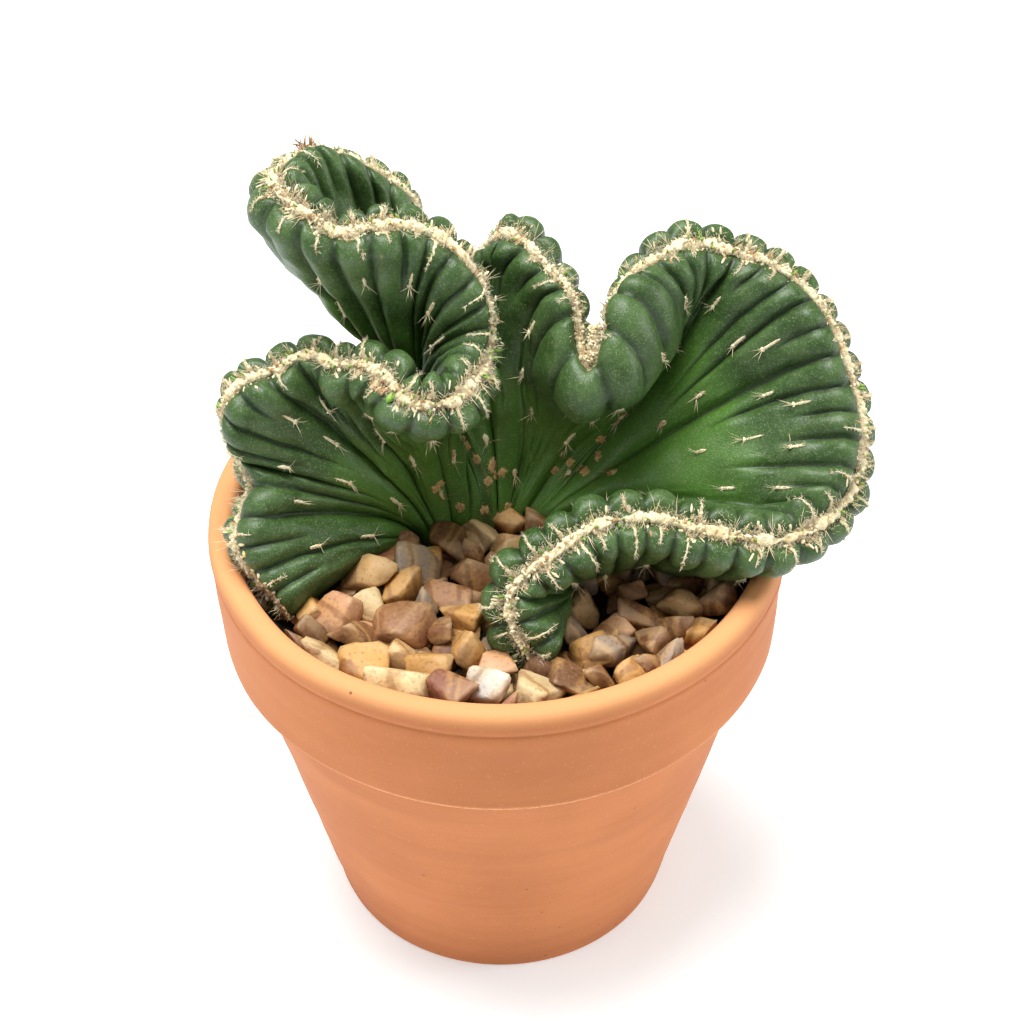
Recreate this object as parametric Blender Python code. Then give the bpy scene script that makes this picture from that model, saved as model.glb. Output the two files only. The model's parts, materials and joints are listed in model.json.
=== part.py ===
"""A potted crested cactus: one thick, folded fan of a cactus with its woolly crest, in a clay pot.

Metres, +Z up, standing on the plane z = 0. Each piece is its own object: the turned clay pot, the
soil with a plain hole for the root, the gravel, the cactus, and the wool along its crest.
"""
import math
import random

import bmesh
import bpy
import numpy as np
from mathutils import Matrix, Vector
from mathutils.bvhtree import BVHTree

MM = 0.001
GAP = 0.3 * MM

# Where the pot's axis stands, so that the whole part is centred on the origin
POT_AXIS = (-9.1 * MM, 0.0, 0.0)

# Clay pot: radii and heights of the turned profile
RIM_TOP = 105.5 * MM
LIP_RADIUS = 60.0 * MM
LIP_DROP = 4.0 * MM
MOUTH_RADIUS = 54.5 * MM
BAND_BOTTOM = 78.0 * MM
BAND_RADIUS = 58.9 * MM
BODY_TOP_RADIUS = 55.1 * MM
FOOT_RADIUS = 38.9 * MM
FLOOR_THICKNESS = 7.0 * MM
FLOOR_RADIUS = 33.0 * MM
DRAIN_RADIUS = 6.0 * MM
POT_SIDES = 48

# Soil and gravel
SOIL_DEPTH = 12.0 * MM
WALL_GAP = 0.4 * MM
BED_TOP_DEPTH = 7.2 * MM
STONE_LEVEL = 4.5 * MM
STONE_SPACING = 13.6 * MM
STONE_CLEARANCE = 9.4 * MM
STONE_SEED = 11

# Cactus body
RIBS = 80
COLUMNS_PER_RIB = 3
FOOT_RATIO = 2
CREST_HALF = 7.4 * MM
FOOT_HALF = 8.5 * MM
FOOT_RISE = 18.0 * MM
ROOM_SHARE = 0.8
TIP_ROWS = (1.2 * MM, 0.0, 1.0 * MM, 3.0 * MM, 8.0 * MM)
TIP_SHARES = (0.26, 0.46, 0.70, 0.92, 1.0)
LOWER_ROWS = (0.12, 0.27, 0.44, 0.63, 0.82, 1.0)
FADE_START = 14.0 * MM
FADE_LENGTH = 40.0 * MM
END_ROUND = 5.0 * MM
END_BLUNT = 1.0 * MM
GROOVE_DEPTH = 1.5 * MM
CREST_SINK = 0.3 * MM
ROOT_DEPTH = 20.0 * MM
ROOT_TAPER = 0.8 * MM
ROOM_GAP = 0.5 * MM
MOST_SHELL = 2.5
FOOT_LINE = ((-20, 2), (-14, 5), (-7, 7), (1, 8), (8, 6.5), (12.5, 2.5), (14, -3))
SMOOTH_SPANS = (0, 0, 0, 0, 1, 4, 8, 13, 19, 25, 31)
POT_CLEARANCE = 0.6 * MM
LIFT_RADII = (47.0 * MM, 52.5 * MM)
RIM_CLEARANCE = 1.0 * MM

# Woolly crest, areoles and spines
WOOL_LIFT = 0.8 * MM
WOOL_HALF = 1.6 * MM
WOOL_HEIGHT = 2.0 * MM
WOOL_INSET = 0.15 * MM
WOOL_SECTION = ((-1.0, 0.0), (-0.72, 0.62), (0.0, 1.0), (0.72, 0.62), (1.0, 0.0))
SPINE_STEP = 5.8 * MM
SPINE_LENGTHS = (2.6 * MM, 4.4 * MM)
SPINE_RADIUS = 0.33 * MM
AREOLE_FIRST = 8.0 * MM
AREOLE_STEP = 11.0 * MM
AREOLE_SPACING = 13.4 * MM
AREOLE_LENGTH = 3.4 * MM
AREOLE_WIDTH = 1.5 * MM
AREOLE_HEIGHT = 0.9 * MM
NEEDLE_LENGTHS = (2.6 * MM, 4.0 * MM)
NEEDLE_CLEARANCE = 1.0 * MM
OPEN_SPACE = 6.0 * MM
LOWEST_AREOLE = 3.5 * MM
LOWEST_TIP = 2.0 * MM
SPINE_SEED = 5

# The crest's line, from the lobe low on the left to the one that runs down into the gravel in
# front: millimetres from the pot's axis, with the height above the pot's rim
CREST = (
    (-42, -27, -7), (-46, -24, -4), (-50.5, -21, 1), (-53.5, -18, 7), (-52.3, -14, 11.5), (-50.3, -9.5, 14),
    (-52.3, -6.5, 18), (-54.8, -5, 25), (-54.5, -4, 31), (-50, -3, 36.5), (-43.5, -1, 38), (-37, 0, 40.5),
    (-32, -3, 40.5), (-26.5, -6, 42.5), (-21, -11, 43), (-17.5, -16, 42), (-13.5, -19, 42.5),
    (-8, -17, 41.5), (-4, -10, 40.5), (-1, -4, 40), (0, 2, 41), (0, 6, 45.5), (-2, 8, 52),
    (-5.5, 9, 57.5), (-10.5, 10, 61.5), (-17, 9, 65), (-23.5, 7, 66), (-30, 7, 64.5), (-34.5, 7, 68),
    (-40, 10, 70), (-43, 16, 70.5), (-41, 23, 70), (-37, 28, 69.5), (-29.5, 30, 67), (-22, 30, 62.5),
    (-17, 29.5, 58.5), (-13.5, 29.5, 51), (-9.5, 30, 44.5), (-4.5, 29.5, 43.5), (-2.2, 27, 48), (2, 24, 52.5),
    (6.5, 20, 52), (11.5, 15, 49), (15, 10.5, 47), (16.5, 6, 43.5), (16.5, 1.5, 40), (17.8, -1, 37),
    (20.5, 1, 40.5), (21.5, 6, 46), (24.5, 12, 49), (30, 17, 50.5), (38.5, 21, 52), (47.5, 22, 49),
    (55.5, 20, 47.5), (62.5, 17, 43.5), (67.5, 12, 38.5), (71, 6, 31.5), (73.5, 0, 25), (73.5, -7, 20),
    (71, -14, 15.5), (64, -20, 12.5), (55.5, -24, 12.5), (47.5, -25, 14.5), (39, -25, 17), (29.5, -25, 20),
    (22, -26, 20), (16.5, -28, 19), (11.5, -31, 16.5), (6, -33, 13), (2.3, -35, 9.5), (1.5, -37, 6),
    (2.5, -39, 2.5), (5, -40.5, -2.5), (8, -41, -7.5),
)

# How the sheet reaches the crest: the crest point's number, then the waist and the neck that the
# ribs there pass, and the stretch by which they arrive, in the same millimetres
SPOKES = (
    (0, (-20, 2, -8), (-30, -12, -8), (-8, -9, -2)),
    (3, (-20, 3, -4), (-30, -5, 0), (-11, -6, 1)),
    (5, (-20, 4, 0), (-30, -1, 6), (-10, -2, 4)),
    (7, (-19, 4, 4), (-30, -1, 12), (-10, -1, 7)),
    (9, (-18.5, 4, 8), (-30, 1, 18), (-7, -2, 10)),
    (11, (-17.5, 4, 10), (-27, 2, 22), (-4, -4, 11)),
    (13, (-16.5, 4, 11), (-22, 0, 24), (-1, -8, 9)),
    (16, (-15, 4.5, 12), (-17, -2, 25), (1, -11, 7)),
    (18, (-13.5, 5.5, 13), (-13, 0, 26), (6, -8, 7)),
    (20, (-11.5, 7, 14), (-12, 7, 29), (10, -2, 4)),
    (22, (-8.5, 8.5, 14.5), (-15, 10, 32), (9, 0, 6)),
    (24, (-6.5, 9.5, 14), (-20, 12, 34), (4, -2, 10)),
    (26, (-3.5, 11, 13.5), (-27, 13, 36), (-1, -3, 11)),
    (28, (-1.5, 12.5, 13.5), (-33, 14, 39), (-3, -3, 11)),
    (30, (0, 13, 15.5), (-38, 16, 42), (-6, -1, 10)),
    (32, (0.5, 14, 16), (-33, 21, 43), (-5, 4, 10)),
    (34, (1, 15, 16.5), (-25, 24, 42), (0, 2, 11)),
    (35, (1.2, 15.3, 17), (-20, 24, 39), (5, 1, 8)),
    (36, (1.5, 15.5, 17), (-13, 23.5, 33), (6, 1, 5)),
    (37, (2, 15.7, 17), (-9, 22.5, 29), (4, 4, 6)),
    (38, (2.5, 15.7, 17), (-4, 22, 28), (-3, 4, 8)),
    (39, (3, 15.5, 17.5), (0, 20, 29), (-6, 2, 7)),
    (40, (4, 15, 18), (2, 18, 32), (-1, -4, 12)),
    (42, (6.5, 13.5, 18), (5, 14, 29), (6, -5, 9)),
    (44, (9, 11.5, 15), (9, 10, 25), (8, -2, 6)),
    (46, (11, 9.5, 12), (18, 3, 18), (-1, 6, 9)),
    (48, (12, 9, 10), (31, 5, 20), (-13, 6, 7)),
    (50, (14, 8, 8), (32, 11, 22), (-6, -2, 12)),
    (52, (15, 7, 6), (34, 15, 22), (6, -4, 11)),
    (54, (16, 6, 4), (40, 14, 18), (11, -3, 8)),
    (56, (16, 5, 2), (43, 10, 13), (12, -5, 5)),
    (58, (16, 4, 0), (42, 4, 7), (12, -7, 5)),
    (60, (16, 3, -2), (38, -3, 2), (8, -8, 8)),
    (62, (15, 2, -4), (32, -8, -1), (2, -6, 11)),
    (64, (14, 1, -5), (25, -10, -2), (0, -5, 12)),
    (66, (13, -1, -5), (18, -12, -3), (-1, -7, 11)),
    (68, (12, -2, -6), (14, -15, -4), (-3, -9, 8)),
    (70, (12, -3, -7), (13, -18, -5), (-5, -9, 5)),
    (72, (12, -3, -7), (12, -20, -6), (-3, -11, 2)),
    (73, (12, -3, -7), (12, -21, -6), (-2, -11, 0)),
)


# The stones that show, each with its place, length and width in millimetres and its turn in degrees
STONES = (
    (-27, -16, 8, 13, 60), (-17, -14, 10, 9, 0), (-10, -6, 11, 8, -25), (-19, -6, 7, 5, 10),
    (-19, -20, 8, 8, -20), (-10, -21, 7, 10, 90), (-5, -16, 6, 9, 60), (-32, -26, 9, 10, 50),
    (-19, -30, 13, 9, -15), (-7, -28, 9, 6, -5), (-27, -33, 13, 6, -5), (-6, -37, 9, 9, -10),
    (-34, -39, 9, 8, -10), (-26, -42, 10, 9, 10), (-19, -47, 14, 7, -12), (-13, -40, 9, 10, -20),
    (-9, -48, 9, 9, -40), (-2, -47, 7, 11, 75), (-19, -38, 7, 6, -10), (7, -49, 10, 8, -25),
    (14, -45, 9, 9, 0), (18, -38, 7, 9, -60), (23, -37, 7, 12, 90), (26, -44, 8, 7, 30),
    (28, -27, 7, 10, 80), (37, -25, 9, 7, -35), (44, -24, 9, 9, -40), (35, -31, 8, 7, 30),
    (40, -33, 6, 10, 55), (30, -36, 7, 6, -20), (34, -40, 7, 6, 10), (3, -8, 8, 7, 10),
    (-14, -25, 6, 6, 0),
)


def clear_scene():
    """Empties the scene."""
    for item in list(bpy.data.objects):
        bpy.data.objects.remove(item, do_unlink=True)


def finish_material(name, colour, roughness):
    """A plain Principled material."""
    material = bpy.data.materials.new(name)
    material.use_nodes = True
    shader = material.node_tree.nodes["Principled BSDF"]
    shader.inputs["Base Color"].default_value = (*colour, 1.0)
    shader.inputs["Roughness"].default_value = roughness
    shader.inputs["Metallic"].default_value = 0.0
    return material


def add_object(name, mesh, material, stand):
    """Links a mesh as an object on the pot's stand, with its material."""
    mesh.materials.append(material)
    item = bpy.data.objects.new(name, mesh)
    bpy.context.collection.objects.link(item)
    item.parent = stand
    return item


def mesh_from(name, points, faces):
    """A mesh of triangles that face outwards."""
    mesh = bpy.data.meshes.new(name)
    mesh.from_pydata([tuple(map(float, p)) for p in points], [], faces)
    work = bmesh.new()
    work.from_mesh(mesh)
    bmesh.ops.recalc_face_normals(work, faces=work.faces)
    bmesh.ops.triangulate(work, faces=work.faces)
    work.to_mesh(mesh)
    work.free()
    return mesh


def through(keys, points, at):
    """A smooth curve through points: cubic pieces whose slopes are the points' mean slopes."""
    slopes = np.gradient(points, keys, axis=0)
    index = np.clip(np.searchsorted(keys, at, side="right") - 1, 0, len(keys) - 2)
    span = (keys[index + 1] - keys[index])[:, None]
    t = (at - keys[index])[:, None] / span
    start = (2 * t**3 - 3 * t**2 + 1) * points[index] + (t**3 - 2 * t**2 + t) * span * slopes[index]
    end = (3 * t**2 - 2 * t**3) * points[index + 1] + (t**3 - t**2) * span * slopes[index + 1]
    return start + end


def unit(vectors):
    """The vectors at length one."""
    return vectors / np.maximum(np.linalg.norm(vectors, axis=-1, keepdims=True), 1e-12)


def steps_along(points):
    """The length along a run of points, from its start."""
    return np.concatenate([[0.0], np.cumsum(np.linalg.norm(np.diff(points, axis=0), axis=1))])


def rim_frame(triples):
    """Millimetres above the rim, as metres above the table."""
    return np.array(triples, float) * MM + np.array([0.0, 0.0, RIM_TOP])


def rib_controls(columns):
    """Five Bezier points for each rib's route: foot, waist, neck, lead and the crest's edge."""
    crest = rim_frame(CREST)
    chord = steps_along(crest)
    dense_key = np.linspace(0.0, chord[-1], 6000)
    dense = through(chord, crest, dense_key)
    length = steps_along(dense)
    stations = np.linspace(0.0, length[-1], columns)
    line = np.stack([np.interp(stations, length, dense[:, k]) for k in range(3)], 1)
    spoke_keys = np.interp(chord[[s[0] for s in SPOKES]], dense_key, length)
    waist = through(spoke_keys, rim_frame([s[1] for s in SPOKES]), stations)
    neck = through(spoke_keys, rim_frame([s[2] for s in SPOKES]), stations)
    lead = through(spoke_keys, np.array([s[3] for s in SPOKES], float) * MM, stations)
    share = stations[:, None] / length[-1]
    foot_line = np.array(FOOT_LINE, float) * MM
    foot_run = steps_along(foot_line)
    foot = np.full((columns, 3), RIM_TOP - SOIL_DEPTH + GAP)
    foot[:, :2] = through(foot_run, foot_line, share[:, 0] * foot_run[-1])
    edge = line - unit(lead) * CREST_SINK
    return np.stack([foot, waist, neck, line - lead, edge]), stations, length[-1], share[:, 0]


def bezier(controls, t):
    """Points of the Bezier curves at t, one row of t for each curve, and their directions."""
    t = t[..., None]
    last = len(controls) - 1
    points = sum(math.comb(last, k) * (1 - t) ** (last - k) * t**k * controls[k][:, None]
                 for k in range(last + 1))
    legs = np.diff(controls, axis=0)
    slope = sum(math.comb(last - 1, k) * (1 - t) ** (last - 1 - k) * t**k * legs[k][:, None]
                for k in range(last))
    return points, unit(slope)


def smooth_columns(values):
    """Evens the grid out along its columns, more in each lower row, where the columns crowd."""
    smooth = values.copy()
    for r, span in enumerate(SMOOTH_SPANS):
        if span:
            weight = np.hanning(2 * span + 3)[1:-1]
            padded = np.pad(values[:, r], ((span, span), (0, 0)), mode="reflect", reflect_type="odd")
            smooth[:, r] = sum(w * padded[k:k + len(values)] for k, w in enumerate(weight)) / weight.sum()
    return smooth


def mid_sheet(columns):
    """The sheet's middle as a grid, columns by rows from the crest down, and a fine cloud of it."""
    controls, stations, length, share = rib_controls(columns)
    t = np.tile(np.linspace(1.0, 0.0, 41), (columns, 1))
    cloud, _ = bezier(controls, t)
    below, at = [], []
    for c in range(columns):
        run = steps_along(cloud[c])
        near = np.array(TIP_ROWS) if 0 < c < columns - 1 else np.sort(TIP_ROWS)
        near = near * min(1.0, 0.5 * run[-1] / TIP_ROWS[-1])
        far = near[-1] + np.array(LOWER_ROWS) * (run[-1] - near[-1])
        below.append(np.concatenate([near, far]))
        at.append(np.interp(below[-1], run, t[c]))
    sheet, up = bezier(controls, np.array(at))
    sheet = smooth_columns(sheet)
    normals = unit(smooth_columns(unit(np.cross(np.gradient(sheet, axis=0), up))))
    return sheet, normals, up, np.array(below), cloud, stations, length, share


def free_radius(sheet, normals, cloud, nearest=2.5 * MM):
    """The radius of the largest ball that touches the sheet at each point and crosses it nowhere."""
    points = cloud.reshape(-1, 3)
    seats = sheet.reshape(-1, 3)
    directions = normals.reshape(-1, 3)
    radius = np.empty(len(seats))
    for start in range(0, len(seats), 256):
        gap = points[None] - seats[start:start + 256, None]
        distance = (gap**2).sum(-1)
        height = np.maximum((gap * directions[start:start + 256, None]).sum(-1), 1e-6)
        ball = np.where(distance > nearest**2, distance / (2 * height), 1.0)
        radius[start:start + 256] = ball.min(1)
    return radius.reshape(sheet.shape[:2])


def body_sides(columns):
    """The front and back surfaces of the cactus: the sheet's middle, thickened, ribbed and rounded."""
    sheet, normals, up, below, cloud, stations, length, share = mid_sheet(columns)
    from_end = np.minimum(stations, length - stations)
    end = np.sqrt(1 - (1 - np.clip((from_end + END_BLUNT) / END_ROUND, 0, 1)) ** 2)
    foot_end = (1 - np.abs(2 * share - 1) ** 3 * 0.98) ** (1 / 3)
    rise = np.clip((below[:, -1:] - below) / FOOT_RISE, 0, 1)
    rise = rise * rise * (3 - 2 * rise)
    half = (1 - rise) * (FOOT_HALF * foot_end)[:, None] + rise * (CREST_HALF * end)[:, None]
    swell = np.ones(below.shape[1])
    swell[:len(TIP_ROWS)] = TIP_SHARES
    low = np.arange(below.shape[1]) >= len(TIP_ROWS)
    pitch = np.linalg.norm(np.gradient(sheet, axis=0), axis=-1) * COLUMNS_PER_RIB
    fade = np.clip(1 - (below - FADE_START) / FADE_LENGTH, 0.0, 1.0)
    depth = np.minimum(GROOVE_DEPTH * fade, 0.35 * pitch * np.where(low, 1.6, 1.0))
    depth[:, 0] = 0.0
    depth[:, -1] = 0.0
    column = np.arange(columns)
    groove = (column[:, None] % np.where(low, FOOT_RATIO * COLUMNS_PER_RIB, COLUMNS_PER_RIB)) == 0
    sides = []
    for sign in (1, -1):
        room = ROOM_SHARE * free_radius(sheet, sign * normals, cloud)
        thick = smooth_columns(((half**-4 + room**-4) ** -0.25)[..., None])[..., 0]
        thick = np.minimum(thick, room)
        offset = (thick - np.minimum(depth, 0.3 * thick) * groove) * swell
        sides.append(sheet + sign * normals * offset[..., None])
    return sides


def settle(points):
    """Keeps points clear of the pot: on the left inside its wall, on the right above its rim."""
    points = points.copy()
    out = np.hypot(points[..., 0], points[..., 1])
    radius = MOUTH_RADIUS - POT_CLEARANCE
    low = (points[..., 0] < 0) & (points[..., 2] < RIM_TOP + 0.8 * MM)
    squeeze = np.where(low & (out > radius), radius / np.maximum(out, 1e-9), 1.0)
    points[..., :2] *= squeeze[..., None]
    soil_level = RIM_TOP - SOIL_DEPTH + 2 * GAP
    lift = np.interp(out, LIFT_RADII, (soil_level, RIM_TOP + RIM_CLEARANCE))
    floor = np.where(points[..., 0] > 0, lift, soil_level)
    points[..., 2] = np.maximum(points[..., 2], floor)
    return points


def body_mesh():
    """The cactus body as one closed mesh, with fewer columns low down, and its root."""
    columns = RIBS * COLUMNS_PER_RIB + 1
    sides = body_sides(columns)
    tip_rows = len(TIP_ROWS)
    rows = sides[0].shape[1]
    strides = [1] * tip_rows + [COLUMNS_PER_RIB] * (rows - tip_rows - 1) + [COLUMNS_PER_RIB * FOOT_RATIO]
    points, index = [], []
    for side in sides:
        side = settle(side)
        side[:, -1, 2] = RIM_TOP - SOIL_DEPTH + GAP
        ids = []
        for r, stride in enumerate(strides):
            picked = list(range(0, columns, stride))
            ids.append([len(points) + k for k in range(len(picked))])
            points.extend(side[picked, r])
        index.append(ids)
    faces = []
    for ids in index:
        for r in range(rows - 1):
            many, few = ids[r], ids[r + 1]
            ratio = (len(many) - 1) // (len(few) - 1)
            for k in range(len(few) - 1):
                strip = many[k * ratio:(k + 1) * ratio + 1]
                if ratio == 1:
                    faces.append((strip[0], few[k], few[k + 1], strip[1]))
                    continue
                half = ratio // 2
                for j in range(ratio):
                    faces.append((strip[j], few[k] if j < half else few[k + 1], strip[j + 1]))
                faces.append((few[k], few[k + 1], strip[half]))
    for k in range(columns - 1):
        faces.append((index[0][0][k], index[0][0][k + 1], index[1][0][k + 1], index[1][0][k]))
    for edge in (0, -1):
        for r in range(rows - 1):
            front, back = index[0], index[1]
            faces.append((front[r][edge], front[r + 1][edge], back[r + 1][edge], back[r][edge]))
    loop = index[0][-1] + index[1][-1][::-1]
    low = [len(points) + k for k in range(len(loop))]
    outline = offset_outline([points[i][:2] for i in loop], -ROOT_TAPER)
    points.extend([(x, y, RIM_TOP - SOIL_DEPTH - ROOT_DEPTH) for x, y in outline])
    for k in range(len(loop)):
        n = (k + 1) % len(loop)
        faces.append((loop[k], loop[n], low[n], low[k]))
    faces.append(tuple(low))
    return mesh_from("cactus", points, faces)


def offset_outline(outline, distance):
    """A closed outline moved outwards by a distance."""
    outline = np.array(outline)
    tangent = unit(np.roll(outline, -1, axis=0) - np.roll(outline, 1, axis=0))
    normal = np.stack([tangent[:, 1], -tangent[:, 0]], 1)
    x, y = outline.T
    turned_left = np.sum(x * np.roll(y, -1) - y * np.roll(x, -1)) > 0
    return outline + normal * (distance if turned_left else -distance)


def apply_boolean(item, operation, others, solver="MANIFOLD"):
    """Joins the other objects to a piece, or cuts them from it, and removes them."""
    group = bpy.data.collections.new("repeats")
    bpy.context.scene.collection.children.link(group)
    for other in others:
        group.objects.link(other)
    modifier = item.modifiers.new("join", "BOOLEAN")
    modifier.operation = operation
    modifier.solver = solver
    modifier.operand_type = "COLLECTION"
    modifier.collection = group
    graph = bpy.context.evaluated_depsgraph_get()
    result = bpy.data.meshes.new_from_object(item.evaluated_get(graph), depsgraph=graph)
    item.modifiers.clear()
    item.data = result
    for other in others:
        bpy.data.objects.remove(other, do_unlink=True)
    bpy.data.collections.remove(group)
    drop_crumbs(item.data)


def drop_crumbs(mesh):
    """Keeps only the mesh's largest connected body."""
    work = bmesh.new()
    work.from_mesh(mesh)
    loose, bodies = set(work.verts), []
    while loose:
        body, edge = set(), {loose.pop()}
        while edge:
            body |= edge
            edge = {end for vert in edge for link in vert.link_edges for end in link.verts} - body
        loose -= body
        bodies.append(body)
    bodies.sort(key=len)
    crumbs = [vert for body in bodies[:-1] for vert in body]
    bmesh.ops.delete(work, geom=crumbs, context="VERTS")
    work.to_mesh(mesh)
    work.free()


def surface_tree(mesh):
    """A mesh's surface, ready for distance and ray tests."""
    points = [v.co.copy() for v in mesh.vertices]
    return BVHTree.FromPolygons(points, [tuple(p.vertices) for p in mesh.polygons])


def loose_object(mesh):
    """An object that is not linked to the scene yet, for a Boolean."""
    return bpy.data.objects.new(mesh.name, mesh)


def inner_radius(height):
    """The pot's inside radius at a height."""
    top, bottom = RIM_TOP - LIP_DROP, FLOOR_THICKNESS
    return FLOOR_RADIUS + (MOUTH_RADIUS - FLOOR_RADIUS) * (height - bottom) / (top - bottom)


def turned_ring(profile, sides):
    """A closed profile of radius and height, turned round the upright axis."""
    angles = np.arange(sides) * 2 * math.pi / sides
    points = [(r * math.cos(a), r * math.sin(a), z) for a in angles for r, z in profile]
    count = len(profile)
    faces = []
    for s in range(sides):
        for k in range(count):
            here, after = s * count, (s + 1) % sides * count
            faces.append((here + k, after + k, after + (k + 1) % count, here + (k + 1) % count))
    return points, faces


def pot_mesh():
    """The clay pot with its foot, band, rounded lip and drain hole."""
    lip = [(LIP_RADIUS + MOUTH_RADIUS) / 2, (LIP_RADIUS - MOUTH_RADIUS) / 2]
    turns = [math.pi * k / 6 for k in range(7)]
    arc = [(lip[0] + lip[1] * math.cos(a), RIM_TOP - LIP_DROP * (1 - math.sin(a) ** 0.7)) for a in turns]
    profile = [(DRAIN_RADIUS, 0.0), (FOOT_RADIUS - 1.5 * MM, 0.0), (FOOT_RADIUS, 1.5 * MM),
               (BODY_TOP_RADIUS, BAND_BOTTOM - 0.8 * MM), (BAND_RADIUS - 0.6 * MM, BAND_BOTTOM),
               (BAND_RADIUS, BAND_BOTTOM + 1.0 * MM)]
    profile += arc + [(FLOOR_RADIUS, FLOOR_THICKNESS), (DRAIN_RADIUS, FLOOR_THICKNESS)]
    return mesh_from("pot", *turned_ring(profile, POT_SIDES))


def plug_mesh(name, bottom, top):
    """A plug that fills the pot's inside between two heights, clear of its wall."""
    rings = [(inner_radius(z) - WALL_GAP, z) for z in (bottom, top)]
    angles = np.arange(POT_SIDES) * 2 * math.pi / POT_SIDES
    points = [(r * math.cos(a), r * math.sin(a), z) for r, z in rings for a in angles]
    faces = [tuple(range(POT_SIDES)), tuple(range(POT_SIDES, 2 * POT_SIDES))]
    for k in range(POT_SIDES):
        after = (k + 1) % POT_SIDES
        faces.append((k, after, POT_SIDES + after, POT_SIDES + k))
    return mesh_from(name, points, faces)


def root_hole():
    """The cutter for the soil's plain hole: the root's outline, a gap wider and deeper."""
    columns = RIBS * COLUMNS_PER_RIB + 1
    stride = COLUMNS_PER_RIB * FOOT_RATIO
    front, back = (side[::stride, -1, :2] for side in body_sides(columns))
    outline = offset_outline(np.concatenate([front, back[::-1]]), ROOM_GAP)
    bottom = RIM_TOP - SOIL_DEPTH - ROOT_DEPTH - ROOM_GAP
    points = [(x, y, z) for z in (bottom, RIM_TOP) for x, y in outline]
    count = len(outline)
    faces = [tuple(range(count)), tuple(range(count, 2 * count))]
    faces += [(k, (k + 1) % count, count + (k + 1) % count, count + k) for k in range(count)]
    return mesh_from("root_hole", points, faces)


def stone_mesh(place, size, turn, rng):
    """A stone: a rough little ball, stretched, turned and kept inside the pot."""
    work = bmesh.new()
    bmesh.ops.create_icosphere(work, subdivisions=1, radius=0.5)
    tilt = Matrix.Rotation(math.radians(rng.uniform(-18, 18)), 4, "X")
    spin = Matrix.Rotation(math.radians(turn), 4, "Z")
    reach = MOUTH_RADIUS - 1.4 * MM
    for vert in work.verts:
        rough = Vector([c * rng.uniform(0.86, 1.12) for c in vert.co])
        point = spin @ tilt @ Vector([rough[k] * size[k] for k in range(3)]) + Vector(place)
        out = math.hypot(point.x, point.y)
        if out > reach:
            point.x *= reach / out
            point.y *= reach / out
        point.z = max(point.z, RIM_TOP - SOIL_DEPTH + 1.2 * MM)
        vert.co = point
    mesh = bpy.data.meshes.new("stone")
    work.to_mesh(mesh)
    work.free()
    return mesh


def stone_places(rng):
    """Every stone's place, size and turn: the ones that show, then others that fill the rest."""
    stones = [((x * MM, y * MM), (a * MM, b * MM), turn) for x, y, a, b, turn in STONES]
    reach = MOUTH_RADIUS - 4.5 * MM
    count = int(reach / STONE_SPACING) + 1
    for row in range(-count - 1, count + 2):
        for k in range(-count - 1, count + 2):
            x = (k + 0.5 * (row % 2)) * STONE_SPACING + rng.uniform(-1, 1) * MM
            y = row * STONE_SPACING * 0.87 + rng.uniform(-1, 1) * MM
            near = min(math.hypot(x - s[0][0], y - s[0][1]) for s in stones)
            size = (rng.uniform(11.0, 15.0) * MM, rng.uniform(9.5, 12.0) * MM)
            turn = rng.uniform(0, 180)
            if math.hypot(x, y) < reach and near > STONE_CLEARANCE:
                stones.append(((x, y), size, turn))
    return stones


def stone_objects():
    """The stones of the gravel, half sunk in its bed."""
    rng = random.Random(STONE_SEED)
    items = []
    for (x, y), (length, width), turn in stone_places(rng):
        thick = 0.72 * min(length, width) + 1.6 * MM
        level = RIM_TOP - STONE_LEVEL + rng.uniform(-0.8, 0.8) * MM
        mesh = stone_mesh((x, y, level), (length, width, thick), turn, rng)
        items.append(loose_object(mesh))
    return items


def crest_frames(columns):
    """Points on the crest's edge with their outward, sideways and lengthwise directions."""
    sheet, normals, up = mid_sheet(columns)[:3]
    edge = sheet[:, 0]
    return edge, unit(up[:, 0]), unit(normals[:, 0]), unit(np.gradient(edge, axis=0))


def wool_mesh():
    """The wool: a low rounded band of uneven width along the whole crest."""
    columns = RIBS * COLUMNS_PER_RIB + 1
    edge, out, side, _ = (values[::2] for values in crest_frames(columns))
    seats = [np.linalg.norm(face[::2, 0] - edge, axis=1) for face in body_sides(columns)]
    room = np.minimum(*seats) - WOOL_INSET
    rng = random.Random(SPINE_SEED)
    points = []
    for k in range(len(edge)):
        swell = rng.uniform(0.8, 1.15) * min(1.0, 0.55 + 0.15 * min(k, len(edge) - 1 - k))
        half = min(WOOL_HALF * swell, room[k])
        rise = (WOOL_HEIGHT - WOOL_LIFT) * swell
        for across, height in WOOL_SECTION:
            points.append(edge[k] + side[k] * across * half + out[k] * (WOOL_LIFT + height * rise))
    points = list(settle(np.array(points)))
    count = len(WOOL_SECTION)
    faces = [tuple(range(count)), tuple(range(len(points) - count, len(points)))]
    for k in range(len(edge) - 1):
        for j in range(count):
            n = (j + 1) % count
            faces.append((k * count + j, k * count + n, (k + 1) * count + n, (k + 1) * count + j))
    return mesh_from("crest_wool", points, faces)


def room_object(mesh):
    """The cutter that leaves room round a piece: its own surface, moved outwards evenly."""
    work = bmesh.new()
    work.from_mesh(mesh)
    moves = [vert.normal * ROOM_GAP * min(vert.calc_shell_factor(), MOST_SHELL) for vert in work.verts]
    for vert, move in zip(work.verts, moves):
        vert.co += move
    room = bpy.data.meshes.new("room")
    work.to_mesh(room)
    work.free()
    return loose_object(room)


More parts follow.
